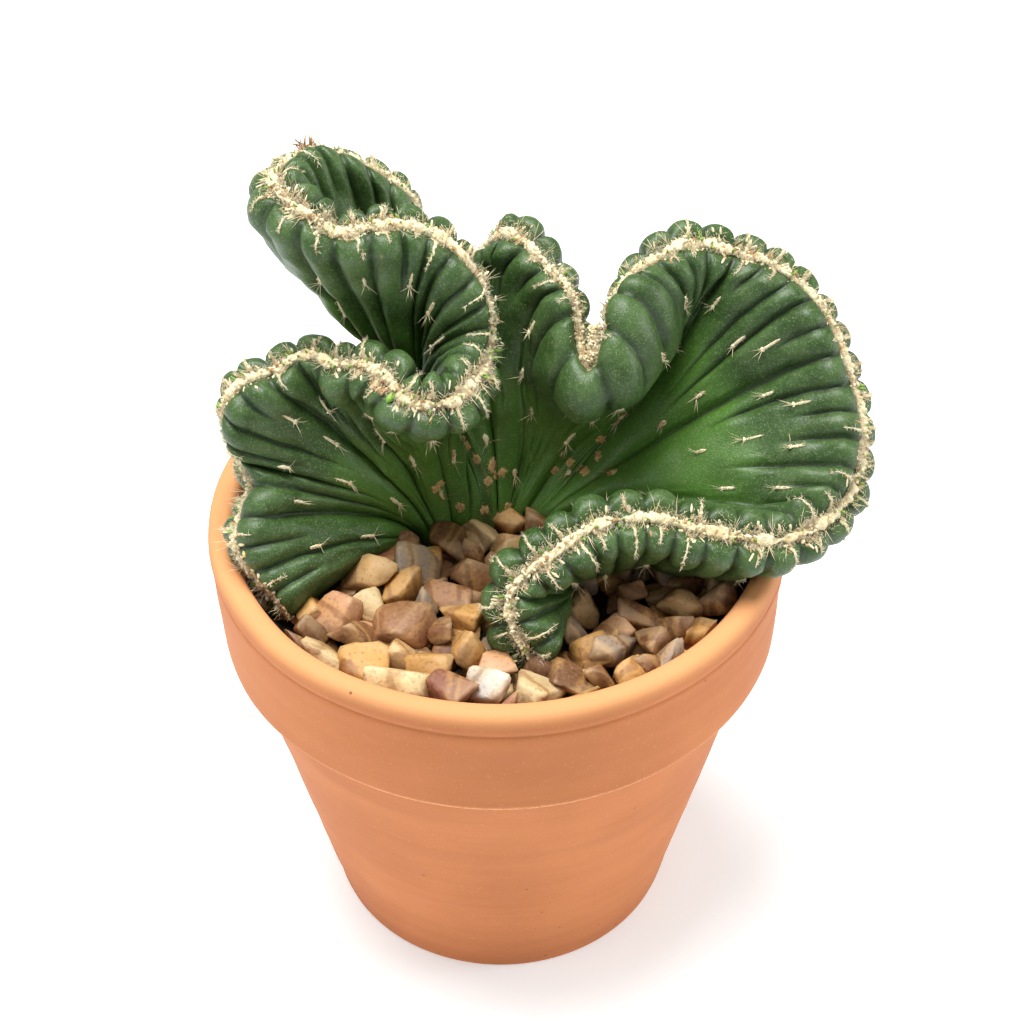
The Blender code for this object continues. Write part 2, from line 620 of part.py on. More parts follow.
def needle_object(root, direction, length, radius):
    """A three-sided needle."""
    across = direction.orthogonal().normalized()
    other = direction.cross(across)
    points = [root + radius * (across * math.cos(a) + other * math.sin(a)) for a in (0.0, 2.094, 4.189)]
    points.append(root + direction * length)
    return loose_object(mesh_from("needle", points, [(2, 1, 0), (0, 1, 3), (1, 2, 3), (2, 0, 3)]))


def is_clear(tree, root, tip, clearance):
    """Whether the line from root to tip stays clear of a surface, its root's own seat aside."""
    ray = tip - root
    start = root + ray.normalized() * clearance
    hit = tree.ray_cast(start, ray.normalized(), ray.length)[0]
    near = tree.find_nearest(tip)[3]
    return hit is None and near > clearance


def crest_spines(body_tree):
    """Short spines that stand out of the wool on both sides, clear of the body."""
    columns = RIBS * COLUMNS_PER_RIB + 1
    edge, out, side, along = crest_frames(columns)
    run = steps_along(edge)
    rng = random.Random(SPINE_SEED)
    spines = []
    place, sign = 2.0 * MM, 1
    while place < run[-1] - 2.0 * MM:
        k = int(np.searchsorted(run, place))
        lean = sign * math.radians(rng.uniform(15, 62))
        slant = rng.uniform(-0.45, 0.45)
        direction = Vector(math.cos(lean) * out[k] + math.sin(lean) * side[k] + slant * along[k]).normalized()
        root = Vector(edge[k] + out[k] * 1.0 * MM)
        length = rng.uniform(*SPINE_LENGTHS) + 1.0 * MM
        tip = root + direction * length
        low = min(tip.z, root.z) < RIM_TOP + LOWEST_TIP
        if not low and is_clear(body_tree, root, tip, NEEDLE_CLEARANCE):
            spines.append(needle_object(root, direction, length, SPINE_RADIUS))
        place += SPINE_STEP * rng.uniform(0.8, 1.2)
        sign = -sign
    return spines


def tuft_object(centre, along, out, rng):
    """An areole's woolly tuft: a low lozenge, longer along its rib."""
    across = along.cross(out).normalized()
    a, b, c = AREOLE_LENGTH / 2, AREOLE_WIDTH / 2, AREOLE_HEIGHT
    points = [centre + along * a, centre + across * b, centre - along * a, centre - across * b,
              centre + out * c + along * rng.uniform(-0.4, 0.4) * a, centre - out * c]
    faces = [(0, 1, 4), (1, 2, 4), (2, 3, 4), (3, 0, 4), (1, 0, 5), (2, 1, 5), (3, 2, 5), (0, 3, 5)]
    return loose_object(mesh_from("tuft", points, faces))


def areoles(body_tree, wool_tree):
    """Tufts and needles on the ribs of both faces, sparser where the ribs draw together."""
    columns = RIBS * COLUMNS_PER_RIB + 1
    below = mid_sheet(columns)[3]
    sides = body_sides(columns)
    rng = random.Random(SPINE_SEED)
    items, places = [], []
    for rib in range(RIBS):
        column = rib * COLUMNS_PER_RIB + 1
        for number, side in enumerate(sides):
            distance = AREOLE_FIRST + (rib + number) % 2 * 0.5 * AREOLE_STEP
            while distance < 0.8 * below[column, -1]:
                point = Vector([np.interp(distance, below[column], side[column, :, k]) for k in range(3)])
                above = Vector([np.interp(distance - MM, below[column], side[column, :, k]) for k in range(3)])
                seat, out = body_tree.find_nearest(point)[:2]
                distance += AREOLE_STEP * rng.uniform(0.85, 1.15)
                crowded = any((seat - p).length < AREOLE_SPACING for p in places)
                if crowded or seat.z < RIM_TOP + LOWEST_AREOLE:
                    continue
                along = (above - point).normalized()
                along = (along - out * along.dot(out)).normalized()
                across = along.cross(out)
                leans = (1, -1) if len(places) % 2 else (1,)
                reach = [rng.uniform(*NEEDLE_LENGTHS) for _ in leans]
                ways = [out + along * rng.uniform(0.2, 0.9) * s + across * rng.uniform(-0.7, 0.7)
                        for s in leans]
                ways = [way.normalized() for way in ways]
                ends = [seat + w * r for w, r in zip(ways, reach)]
                if not all(is_clear(wool_tree, seat, e, NEEDLE_CLEARANCE) for e in ends):
                    continue
                if any(e.z < RIM_TOP + LOWEST_TIP for e in ends):
                    continue
                if body_tree.ray_cast(seat + out * NEEDLE_CLEARANCE, out, OPEN_SPACE)[0] is not None:
                    continue
                places.append(seat)
                items.append(tuft_object(seat - out * 0.1 * MM, along, out, rng))
                for way, r in zip(ways, reach):
                    items.append(needle_object(seat - out * 0.4 * MM, way, r + 0.4 * MM, SPINE_RADIUS))
    return items


def main():
    """Builds the part's pieces, each on the pot's axis."""
    clear_scene()
    stand = bpy.data.objects.new("pot_axis", None)
    bpy.context.collection.objects.link(stand)
    clay = finish_material("terracotta", (0.60, 0.24, 0.10), 0.75)
    earth = finish_material("soil", (0.035, 0.022, 0.014), 0.95)
    stone = finish_material("gravel_stone", (0.36, 0.22, 0.11), 0.55)
    skin = finish_material("cactus_skin", (0.035, 0.12, 0.035), 0.45)
    fleece = finish_material("crest_wool", (0.78, 0.66, 0.42), 0.95)

    add_object("pot", pot_mesh(), clay, stand)
    soil_top = RIM_TOP - SOIL_DEPTH
    soil = add_object("soil", plug_mesh("soil", FLOOR_THICKNESS + GAP, soil_top), earth, stand)
    apply_boolean(soil, "DIFFERENCE", [loose_object(root_hole())], "EXACT")

    body = add_object("cactus", body_mesh(), skin, stand)
    wool = add_object("crest_wool", wool_mesh(), fleece, stand)
    rooms = [room_object(body.data), room_object(wool.data)]
    body_tree = surface_tree(body.data)
    wool_tree = surface_tree(wool.data)
    apply_boolean(wool, "UNION", crest_spines(body_tree))
    apply_boolean(body, "UNION", areoles(body_tree, wool_tree))

    bed = plug_mesh("gravel", soil_top + GAP, RIM_TOP - BED_TOP_DEPTH)
    gravel = add_object("gravel", bed, stone, stand)
    apply_boolean(gravel, "UNION", stone_objects())
    apply_boolean(gravel, "DIFFERENCE", rooms)
    stand.location = POT_AXIS


main()
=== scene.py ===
"""The looks of a potted crested cactus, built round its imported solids.

Every piece is in metres, +Z up. Lengths named in millimetres are turned into metres where they are used.
The plant's surfaces are worked out on a grid: along the crest, and down each rib from crest to foot.
"""
import itertools
import json
import logging
import math
from dataclasses import dataclass, field
from enum import Enum

import bmesh
import bpy
import numpy as np
from mathutils import Matrix, Vector
from mathutils.bvhtree import BVHTree

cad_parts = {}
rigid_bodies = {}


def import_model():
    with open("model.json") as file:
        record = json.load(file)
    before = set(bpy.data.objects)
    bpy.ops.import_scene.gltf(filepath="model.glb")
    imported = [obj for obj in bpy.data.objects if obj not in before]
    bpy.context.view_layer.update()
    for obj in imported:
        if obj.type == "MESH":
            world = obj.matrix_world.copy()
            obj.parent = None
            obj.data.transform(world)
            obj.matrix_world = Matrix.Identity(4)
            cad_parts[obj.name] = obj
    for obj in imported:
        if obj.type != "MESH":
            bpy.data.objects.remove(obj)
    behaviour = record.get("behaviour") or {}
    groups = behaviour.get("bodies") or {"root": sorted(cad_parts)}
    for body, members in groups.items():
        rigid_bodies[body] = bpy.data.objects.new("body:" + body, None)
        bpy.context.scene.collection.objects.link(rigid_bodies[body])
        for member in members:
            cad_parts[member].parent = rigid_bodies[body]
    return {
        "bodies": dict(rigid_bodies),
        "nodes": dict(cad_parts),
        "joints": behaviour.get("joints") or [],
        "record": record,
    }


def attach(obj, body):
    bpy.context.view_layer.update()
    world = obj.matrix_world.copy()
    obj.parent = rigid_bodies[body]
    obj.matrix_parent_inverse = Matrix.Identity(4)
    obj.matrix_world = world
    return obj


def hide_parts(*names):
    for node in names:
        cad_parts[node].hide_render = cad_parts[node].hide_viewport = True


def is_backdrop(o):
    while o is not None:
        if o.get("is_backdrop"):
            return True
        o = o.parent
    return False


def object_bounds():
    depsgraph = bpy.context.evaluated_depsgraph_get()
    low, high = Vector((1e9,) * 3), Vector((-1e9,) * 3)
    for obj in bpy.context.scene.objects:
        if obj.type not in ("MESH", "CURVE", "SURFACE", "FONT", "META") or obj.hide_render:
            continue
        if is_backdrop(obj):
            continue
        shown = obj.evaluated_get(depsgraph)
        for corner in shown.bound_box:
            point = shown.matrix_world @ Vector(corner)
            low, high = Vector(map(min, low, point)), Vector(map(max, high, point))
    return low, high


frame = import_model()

Tint = tuple[float, float, float]
Span = tuple[float, float]

MM = 0.001
RIM_TOP = 105.5 * MM
POT_AXIS = np.array([-9.1, 0.0, 0.0]) * MM
MOUTH_RADIUS = 54.5 * MM
SOIL_DEPTH = 12.0 * MM

# The crest's line in millimetres from the pot's axis, with the height above the pot's rim
CREST = (
    (-42, -27, -7), (-46, -24, -4), (-50.5, -21, 1), (-53.5, -18, 7), (-52.3, -14, 11.5), (-50.3, -9.5, 14),
    (-52.3, -6.5, 18), (-54.8, -5, 25), (-54.5, -4, 31), (-50, -3, 36.5), (-43.5, -1, 38), (-37, 0, 40.5),
    (-32, -3, 40.5), (-26.5, -6, 42.5), (-21, -11, 43), (-17.5, -16, 42), (-13.5, -19, 42.5),
    (-8, -17, 41.5), (-4, -10, 40.5), (-1, -4, 40), (0, 2, 41), (0, 6, 45.5), (-2, 8, 52),
    (-5.5, 9, 57.5), (-10.5, 10, 61.5), (-17, 9, 65), (-23.5, 7, 66), (-30, 7, 64.5), (-34.5, 7, 68),
    (-40, 10, 70), (-43, 16, 70.5), (-41, 23, 70), (-37, 28, 69.5), (-29.5, 30, 67), (-22, 30, 62.5),
    (-17, 29.5, 58.5), (-13.5, 29.5, 51), (-9.5, 30, 44.5), (-4.5, 29.5, 43.5), (-2.2, 27, 48), (2, 24, 52.5),
    (6.5, 20, 52), (11.5, 15, 49), (15.5, 10.5, 47), (17.2, 6, 43.5), (17.3, 1.5, 40), (18.4, -1, 37),
    (20.1, 1, 40.5), (20.6, 6, 46), (24, 12, 49), (30, 17, 50.5), (38.5, 21, 52), (47.5, 22, 49),
    (55.5, 20, 47.5), (62.5, 17, 43.5), (67.5, 12, 38.5), (71, 6, 31.5), (73.5, 0, 25), (73.5, -7, 20),
    (71, -14, 15.5), (64, -20, 12.5), (55.5, -24, 12.5), (47.5, -25, 14.5), (39, -25, 17), (29.5, -25, 20),
    (22, -26, 20), (16.5, -28, 19), (11.5, -31, 16.5), (6, -33, 13), (2.3, -35, 9.5), (1.5, -37, 6),
    (2.5, -39, 2.5), (5, -40.5, -2.5), (8, -41, -7.5),
)

# How the sheet reaches the crest: the crest point's number, the waist and the neck that the ribs there
# pass, and the stretch by which they arrive
SPOKES = (
    (0, (-20, 2, -8), (-30, -12, -8), (-8, -9, -2)),
    (3, (-20, 3, -4), (-30, -5, 0), (-11, -6, 1)),
    (5, (-20, 4, 0), (-30, -1, 6), (-10, -2, 4)),
    (7, (-19, 4, 4), (-30, -1, 12), (-10, -1, 7)),
    (9, (-18.5, 4, 8), (-30, 1, 18), (-7, -2, 10)),
    (11, (-17.5, 4, 10), (-27, 2, 22), (-4, -4, 11)),
    (13, (-16.5, 4, 11), (-22, 0, 24), (-1, -8, 9)),
    (16, (-15, 4.5, 12), (-17, -2, 25), (1, -11, 7)),
    (18, (-13.5, 5.5, 13), (-13, 0, 26), (6, -8, 7)),
    (20, (-11.5, 7, 14), (-12, 7, 29), (10, -2, 4)),
    (22, (-8.5, 8.5, 14.5), (-15, 10, 32), (9, 0, 6)),
    (24, (-6.5, 9.5, 14), (-20, 12, 34), (4, -2, 10)),
    (26, (-3.5, 11, 13.5), (-27, 13, 36), (-1, -3, 11)),
    (28, (-1.5, 12.5, 13.5), (-33, 14, 39), (-3, -3, 11)),
    (30, (0, 13, 15.5), (-38, 16, 42), (-6, -1, 10)),
    (32, (0.5, 14, 16), (-33, 21, 43), (-5, 4, 10)),
    (34, (1, 15, 16.5), (-25, 24, 42), (0, 2, 11)),
    (35, (1.2, 15.3, 17), (-20, 24, 39), (5, 1, 8)),
    (36, (1.5, 15.5, 17), (-13, 23.5, 33), (6, 1, 5)),
    (37, (2, 15.7, 17), (-9, 22.5, 29), (4, 4, 6)),
    (38, (2.5, 15.7, 17), (-4, 22, 28), (-3, 4, 8)),
    (39, (3, 15.5, 17.5), (0, 20, 29), (-6, 2, 7)),
    (40, (4, 15, 18), (2, 18, 32), (-1, -4, 12)),
    (42, (6.5, 13.5, 18), (5, 14, 29), (6, -5, 9)),
    (44, (9, 11.5, 15), (9, 10, 25), (8, -2, 6)),
    (46, (11, 9.5, 12), (18, 3, 18), (-1, 6, 9)),
    (48, (12, 9, 10), (31, 5, 20), (-13, 6, 7)),
    (50, (14, 8, 8), (32, 11, 22), (-6, -2, 12)),
    (52, (15, 7, 6), (34, 15, 22), (6, -4, 11)),
    (54, (16, 6, 4), (40, 14, 18), (11, -3, 8)),
    (56, (16, 5, 2), (43, 10, 13), (12, -5, 5)),
    (58, (16, 4, 0), (42, 4, 7), (12, -7, 5)),
    (60, (16, 3, -2), (38, -3, 2), (8, -8, 8)),
    (62, (15, 2, -4), (32, -8, -1), (2, -6, 11)),
    (64, (14, 1, -5), (25, -10, -2), (0, -5, 12)),
    (66, (13, -1, -5), (18, -12, -3), (-1, -7, 11)),
    (68, (12, -2, -6), (14, -15, -4), (-3, -9, 8)),
    (70, (12, -3, -7), (13, -18, -5), (-5, -9, 5)),
    (72, (12, -3, -7), (12, -20, -6), (-3, -11, 2)),
    (73, (12, -3, -7), (12, -21, -6), (-2, -11, 0)),
)
FOOT_LINE = ((-20, 2), (-14, 5), (-7, 7), (1, 8), (8, 6.5), (12.5, 2.5), (14, -3))

# The coarse grid's rows: up to 1 in parts of the near depth, and from 1 to 2 in parts of the rest
COARSE_ROWS = np.array([0, 0.35, 0.7, 1.0, 1.08, 1.18, 1.3, 1.44, 1.58, 1.72, 1.86, 2.0])
# How many columns to each side a row is evened out over, for rows in between too
EVEN_ROWS = (0.99, 1.0, 1.12, 1.27, 1.44, 1.63, 1.82, 2.0)
EVEN_SPANS = (0, 1, 4, 8, 13, 19, 25, 31)
# The fine grid's first rows, round the crest's edge: their depth, and their share of the thickness
EDGE_DROP = np.array([1.5, 1.45, 1.25, 0.75, 0.25, 0.05, 0.30, 0.95, 1.9, 3.2, 5.2, 8.0]) * MM
EDGE_SWELL = (0.0, 0.14, 0.25, 0.33, 0.42, 0.54, 0.68, 0.80, 0.90, 0.96, 0.99, 1.0)

log = logging.getLogger("crested_cactus")


class StoneKind(Enum):
    """The sorts of stone in the gravel, each with its colour in linear light."""
    SAND = (0.54, 0.340, 0.150)
    GREY = (0.27, 0.200, 0.140)
    BROWN = (0.19, 0.082, 0.030)
    OCHRE = (0.52, 0.270, 0.075)
    PINK = (0.48, 0.245, 0.125)
    CREAM = (0.66, 0.50, 0.26)
    RUST = (0.25, 0.088, 0.042)
    WHITE = (0.72, 0.69, 0.62)


# The stones that show: place, length and width in millimetres, turn in degrees, and kind
STONES = (
    (-27, -16, 8, 13, 60, "SAND"), (-17, -14, 10, 9, 0, "GREY"), (-10, -6, 11, 8, -25, "BROWN"),
    (-19, -6, 7, 5, 10, "BROWN"), (-19, -20, 8, 8, -20, "OCHRE"), (-10, -21, 7, 10, 90, "PINK"),
    (-5, -16, 6, 9, 60, "BROWN"), (-32, -26, 9, 10, 50, "PINK"), (-19, -30, 13, 9, -15, "PINK"),
    (-7, -28, 9, 6, -5, "OCHRE"), (-27, -33, 13, 6, -5, "BROWN"), (-6, -37, 9, 9, -10, "OCHRE"),
    (-34, -39, 9, 8, -10, "CREAM"), (-26, -42, 10, 9, 10, "OCHRE"), (-19, -47, 14, 7, -12, "CREAM"),
    (-13, -40, 9, 10, -20, "OCHRE"), (-9, -48, 9, 9, -40, "RUST"), (-2, -47, 7, 11, 75, "WHITE"),
    (-19, -38, 7, 6, -10, "SAND"), (7, -49, 10, 8, -25, "CREAM"), (14, -45, 9, 9, 0, "BROWN"),
    (18, -38, 7, 9, -60, "OCHRE"), (23, -37, 7, 12, 90, "GREY"), (26, -44, 8, 7, 30, "OCHRE"),
    (20, -45, 4, 7, 80, "BROWN"), (16, -51, 9, 4, 8, "OCHRE"), (28, -27, 7, 10, 80, "BROWN"),
    (37, -25, 9, 7, -35, "SAND"), (44, -24, 9, 9, -40, "BROWN"), (35, -31, 8, 7, 30, "BROWN"),
    (40, -33, 6, 10, 55, "OCHRE"), (30, -36, 7, 6, -20, "BROWN"), (34, -40, 7, 6, 10, "GREY"),
    (30, -42, 5, 8, -70, "BROWN"), (3, -8, 8, 7, 10, "SAND"), (-14, -25, 6, 6, 0, "GREY"),
    (-40, -35, 5, 7, 80, "BROWN"), (-37, -32, 5, 7, 60, "BROWN"), (2, -52, 6, 5, 10, "PINK"),
    (-11, -31, 6, 5, 0, "BROWN"), (-5, -10, 5, 6, 60, "BROWN"), (-14, -10, 5, 4, 0, "OCHRE"),
)


def unit(vectors: np.ndarray) -> np.ndarray:
    """The vectors at length one."""
    return vectors / np.maximum(np.linalg.norm(vectors, axis=-1, keepdims=True), 1e-12)


def lay(ways: np.ndarray, out: np.ndarray) -> np.ndarray:
    """The ways laid flat on the planes that out stands on, at length one."""
    return unit(ways - out * (ways * out).sum(1, keepdims=True))


def ease(share: np.ndarray) -> np.ndarray:
    """A share from 0 to 1, made to start and end softly."""
    return share * share * (3 - 2 * share)


def turning(angles: np.ndarray, axis: int) -> np.ndarray:
    """Matrices that turn about one axis.

    Args:
        angles: The angles in radians.
        axis: 0, 1 or 2 for x, y or z.
    Returns:
        One matrix for each angle.
    """
    after, last = (axis + 1) % 3, (axis + 2) % 3
    matrices = np.zeros((len(angles), 3, 3))
    matrices[:, axis, axis] = 1.0
    matrices[:, after, after] = matrices[:, last, last] = np.cos(angles)
    matrices[:, last, after] = np.sin(angles)
    matrices[:, after, last] = -np.sin(angles)
    return matrices


def stand(name: str, data: bpy.types.ID) -> bpy.types.Object:
    """An object of the given name and data, put in the scene."""
    item = bpy.data.objects.new(name, data)
    bpy.context.scene.collection.objects.link(item)
    return item


def steps_along(points: np.ndarray) -> np.ndarray:
    """The length along a run of points, from its start."""
    return np.concatenate([[0.0], np.cumsum(np.linalg.norm(np.diff(points, axis=0), axis=1))])


def spline(keys: np.ndarray, values: np.ndarray, at: np.ndarray) -> np.ndarray:
    """A smooth curve through values: cubic pieces whose slopes are the values' mean slopes.

    Args:
        keys: Where the values stand, rising.
        values: One value or array for each key.
        at: Where the curve is read.
    Returns:
        The curve's values, one for each place in at.
    """
    slopes = np.gradient(values, keys, axis=0)
    index = np.clip(np.searchsorted(keys, at, side="right") - 1, 0, len(keys) - 2)
    shape = (-1,) + (1,) * (values.ndim - 1)
    span = (keys[index + 1] - keys[index]).reshape(shape)
    t = (at - keys[index]).reshape(shape) / span
    start = (2 * t**3 - 3 * t**2 + 1) * values[index] + (t**3 - 2 * t**2 + t) * span * slopes[index]
    end = (3 * t**2 - 2 * t**3) * values[index + 1] + (t**3 - t**2) * span * slopes[index + 1]
    return start + end


def ripple(points: np.ndarray, scale: float, seed: int, octaves: int = 2) -> np.ndarray:
    """An uneven field between about -1 and 1: sine waves in many directions, added up.

    Args:
        points: Places in metres, in any array shape with three coordinates last.
        scale: The longest wave in metres.
        seed: Chooses the waves.
        octaves: How many times the waves are halved and added again at half strength.
    Returns:
        The field's value at each place.
    """
    rng = np.random.default_rng(seed)
    total = np.zeros(points.shape[:-1])
    waves = 7
    for octave in range(octaves):
        ways = unit(rng.normal(size=(waves, 3))) * rng.uniform(0.7, 1.5, (waves, 1))
        ways = ways * 2 * math.pi * 2**octave / scale
        phases = rng.uniform(0, 2 * math.pi, waves)
        for way, phase in zip(ways, phases):
            total += np.sin(points @ way + phase) * 0.5**octave
    return total / 3.2


def to_world(triples: np.ndarray) -> np.ndarray:
    """Millimetres from the pot's axis and above its rim, as metres in the part's frame, axis aside."""
    return np.asarray(triples, float) * MM + np.array([0.0, 0.0, RIM_TOP])


@dataclass
class Surface:
    """Points, faces and named values of one surface, ready to become a mesh."""
    points: np.ndarray
    faces: np.ndarray | list[np.ndarray]
    values: dict[str, np.ndarray] = field(default_factory=dict)

    @staticmethod
    def grid(points: np.ndarray, values: dict[str, np.ndarray], wrap: bool = False) -> "Surface":
        """A surface over a grid of points.

        Args:
            points: Rows by columns by three coordinates.
            values: Named values at each point.
            wrap: Whether the last column joins the first.
        Returns:
            The surface.
        """
        rows, cols = points.shape[:2]
        index = np.arange(rows * cols).reshape(rows, cols)
        if wrap:
            index = np.hstack([index, index[:, :1]])
        faces = np.stack([index[:-1, :-1], index[:-1, 1:], index[1:, 1:], index[1:, :-1]], -1)
        flat = {name: value.reshape(rows * cols, -1) for name, value in values.items()}
        return Surface(points.reshape(-1, 3), faces.reshape(-1, 4), flat)

    def close(self, starts: tuple[int, ...], sides: int) -> None:
        """Closes rings of points, each with a strip of quads across it.

        Args:
            starts: Each ring's first point.
            sides: How many points a ring has.
        """
        caps = [np.array([(s + k, s + k + 1, s + sides - 2 - k, s + sides - 1 - k)
                          for k in range(sides // 2 - 1)]) for s in starts]
        self.faces = np.concatenate([self.faces, *caps])

    @staticmethod
    def join(surfaces: list["Surface"]) -> "Surface":
        """Several surfaces of the same kind of face as one.

        Args:
            surfaces: The surfaces, with the same named values.
        Returns:
            The joined surface.
        """
        starts = np.cumsum([0] + [len(s.points) for s in surfaces[:-1]])
        faces = np.concatenate([s.faces + start for s, start in zip(surfaces, starts)])
        names = surfaces[0].values
        values = {name: np.concatenate([s.values[name] for s in surfaces]) for name in names}
        return Surface(np.concatenate([s.points for s in surfaces]), faces, values)


class Piece:
    """One finished object of the scene."""

    def __init__(self, name: str, surface: Surface, material: bpy.types.Material, slot: str,
                 replaces: str | None = None, merge: float = 0.0, turn_out: bool = True) -> None:
        """Args:
            name: The object's name.
            surface: Its points, faces and values, round the pot's axis.
            material: Its finish.
            slot: The record's material slot that it belongs to. Not used.
            replaces: The solid that it stands for, if any.
            merge: The distance under which points are merged, to close seams.
            turn_out: Whether its faces are turned outwards here.
        """
        mesh = bpy.data.meshes.new(name)
        blocks = surface.faces if isinstance(surface.faces, list) else [surface.faces]
        faces = [face for block in blocks for face in block.tolist()]
        mesh.from_pydata((surface.points + POT_AXIS).tolist(), [], faces)
        for key, value in surface.values.items():
            if value.shape[1] == 1:
                mesh.attributes.new(key, "FLOAT", "POINT").data.foreach_set("value", value.ravel())
            else:
                colour = np.hstack([value, np.ones((len(value), 1))])
                attribute = mesh.attributes.new(key, "FLOAT_COLOR", "POINT")
                attribute.data.foreach_set("color", colour.ravel())
        if turn_out or merge:
            work = bmesh.new()
            work.from_mesh(mesh)
            if merge:
                bmesh.ops.remove_doubles(work, verts=work.verts, dist=merge)
            if turn_out:
                bmesh.ops.recalc_face_normals(work, faces=work.faces)
            work.to_mesh(mesh)
            work.free()
        mesh.shade_smooth()
        mesh.materials.append(material)
        self.item = stand(name, mesh)
        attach(self.item, "root")
        if replaces:
            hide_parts(replaces)
        log.info("%s: %d points, %d faces", name, len(mesh.vertices), len(mesh.polygons))


class Value:
    """A socket of a node tree: arithmetic on it adds Math nodes."""

    def __init__(self, shader: "Shader", socket: bpy.types.NodeSocket) -> None:
        """Keeps the socket and the shader that it is in."""
        self.shader = shader
        self.socket = socket

    def _math(self, operation: str, *others: "Value | float", swap: bool = False) -> "Value":
        """Adds a Math node.

        Args:
            operation: What the node does.
            others: The terms after this one.
            swap: Whether the terms change places.
        Returns:
            The node's result.
        """
        terms = [self, *others]
        if swap:
            terms.reverse()
        node = self.shader.node("ShaderNodeMath", {"operation": operation}, dict(enumerate(terms)))
        return Value(self.shader, node.outputs[0])

    def __add__(self, other: "Value | float") -> "Value":
        """This value plus another."""
        return self._math("ADD", other)

    __radd__ = __add__

    def __sub__(self, other: "Value | float") -> "Value":
        """This value less another."""
        return self._math("SUBTRACT", other)

    def __rsub__(self, other: float) -> "Value":
        """A number less this value."""
        return self._math("SUBTRACT", other, swap=True)

    def __mul__(self, other: "Value | float") -> "Value":
        """This value times another."""
        return self._math("MULTIPLY", other)

    def step(self, low: float, high: float) -> "Value":
        """A soft step.

        Args:
            low: Where it is still 0.
            high: Where it has reached 1.
        Returns:
            The step's value.
        """
        node = self.shader.node("ShaderNodeMapRange", {"interpolation_type": "SMOOTHSTEP"},
                                {"Value": self, "From Min": low, "From Max": high})
        return Value(self.shader, node.outputs["Result"])


class Shader:
    """A Principled material under construction."""

    def __init__(self, name: str) -> None:
        """Starts a material of the given name."""
        self.material = bpy.data.materials.new(name)
        self.material.use_nodes = True
        self.tree = self.material.node_tree
        self.surface = self.tree.nodes["Principled BSDF"]
        self.place = Value(self, self.node("ShaderNodeTexCoord", {}, {}).outputs["Object"])

    def node(self, kind: str, settings: dict, sockets: dict) -> bpy.types.Node:
        """Adds a node.

        Args:
            kind: The node's type.
            settings: Its properties, set before its sockets.
            sockets: Input names or numbers, with the values or links that they take.
        Returns:
            The node.
        """
        node = self.tree.nodes.new(kind)
        for key, setting in settings.items():
            setattr(node, key, setting)
        for key, value in sockets.items():
            self.feed(node.inputs[key], value)
        return node

    def feed(self, socket: bpy.types.NodeSocket, value: "Value | float | Tint") -> None:
        """Links a value to a socket, or sets the socket to it.

        Args:
            socket: The socket.
            value: A value of this tree, a number or a colour.
        """
        if isinstance(value, Value):
            self.tree.links.new(value.socket, socket)
        elif isinstance(value, tuple) and socket.type == "RGBA":
            socket.default_value = (*value, 1.0)
        else:
            socket.default_value = value

    def attribute(self, name: str, colour: bool = False) -> Value:
        """A value or colour kept on the mesh."""
        node = self.node("ShaderNodeAttribute", {"attribute_name": name}, {})
        return Value(self, node.outputs["Color" if colour else "Fac"])

    def noise(self, size: float, detail: float = 3.0, place: Value | None = None) -> Value:
        """Soft noise.

        Args:
            size: The size of its largest blobs in metres.
            detail: How many finer layers it has.
            place: Where it is read, if not at the point's own place.
        Returns:
            Its value, about 0 to 1.
        """
        sockets = {"Vector": place or self.place, "Scale": 1 / size, "Detail": detail}
        node = self.node("ShaderNodeTexNoise", {}, sockets)
        return Value(self, node.outputs["Fac"])

    def cells(self, size: float) -> Value:
        """The distance to the nearest of scattered points, in parts of their spacing in metres."""
        node = self.node("ShaderNodeTexVoronoi", {}, {"Vector": self.place, "Scale": 1 / size})
        return Value(self, node.outputs["Distance"])

    def stretched(self, scale: Tint) -> Value:
        """The place, scaled each way."""
        node = self.node("ShaderNodeVectorMath", {"operation": "MULTIPLY"}, {0: self.place, 1: scale})
        return Value(self, node.outputs["Vector"])

    def mix(self, factor: "Value | float", low: "Value | Tint", high: "Value | Tint",
            way: str = "MIX") -> Value:
        """A blend of two colours.

        Args:
            factor: The second colour's share.
            low: The first colour.
            high: The second colour.
            way: How they are blended.
        Returns:
            The blend.
        """
        node = self.node("ShaderNodeMix", {"data_type": "RGBA", "blend_type": way}, {})
        self.feed(node.inputs["Factor"], factor)
        self.feed(node.inputs[6], low)
        self.feed(node.inputs[7], high)
        return Value(self, node.outputs[2])

    def bump(self, height: Value, distance: float, strength: float = 1.0) -> None:
        """Raises the surface by a height field.

        Args:
            height: The field.
            distance: The height in metres where the field is one.
            strength: How much of it is used.
        """
        sockets = {"Height": height, "Distance": distance, "Strength": strength}
        node = self.node("ShaderNodeBump", {}, sockets)
        self.feed(self.surface.inputs["Normal"], Value(self, node.outputs["Normal"]))

    def finish(self, **sockets: "Value | float | Tint") -> bpy.types.Material:
        """Feeds the Principled shader's sockets.

        Args:
            sockets: Their values, under their names with underscores for spaces.
        Returns:
            The finished material.
        """
        for key, value in sockets.items():
            self.feed(self.surface.inputs[key.replace("_", " ")], value)
        return self.material


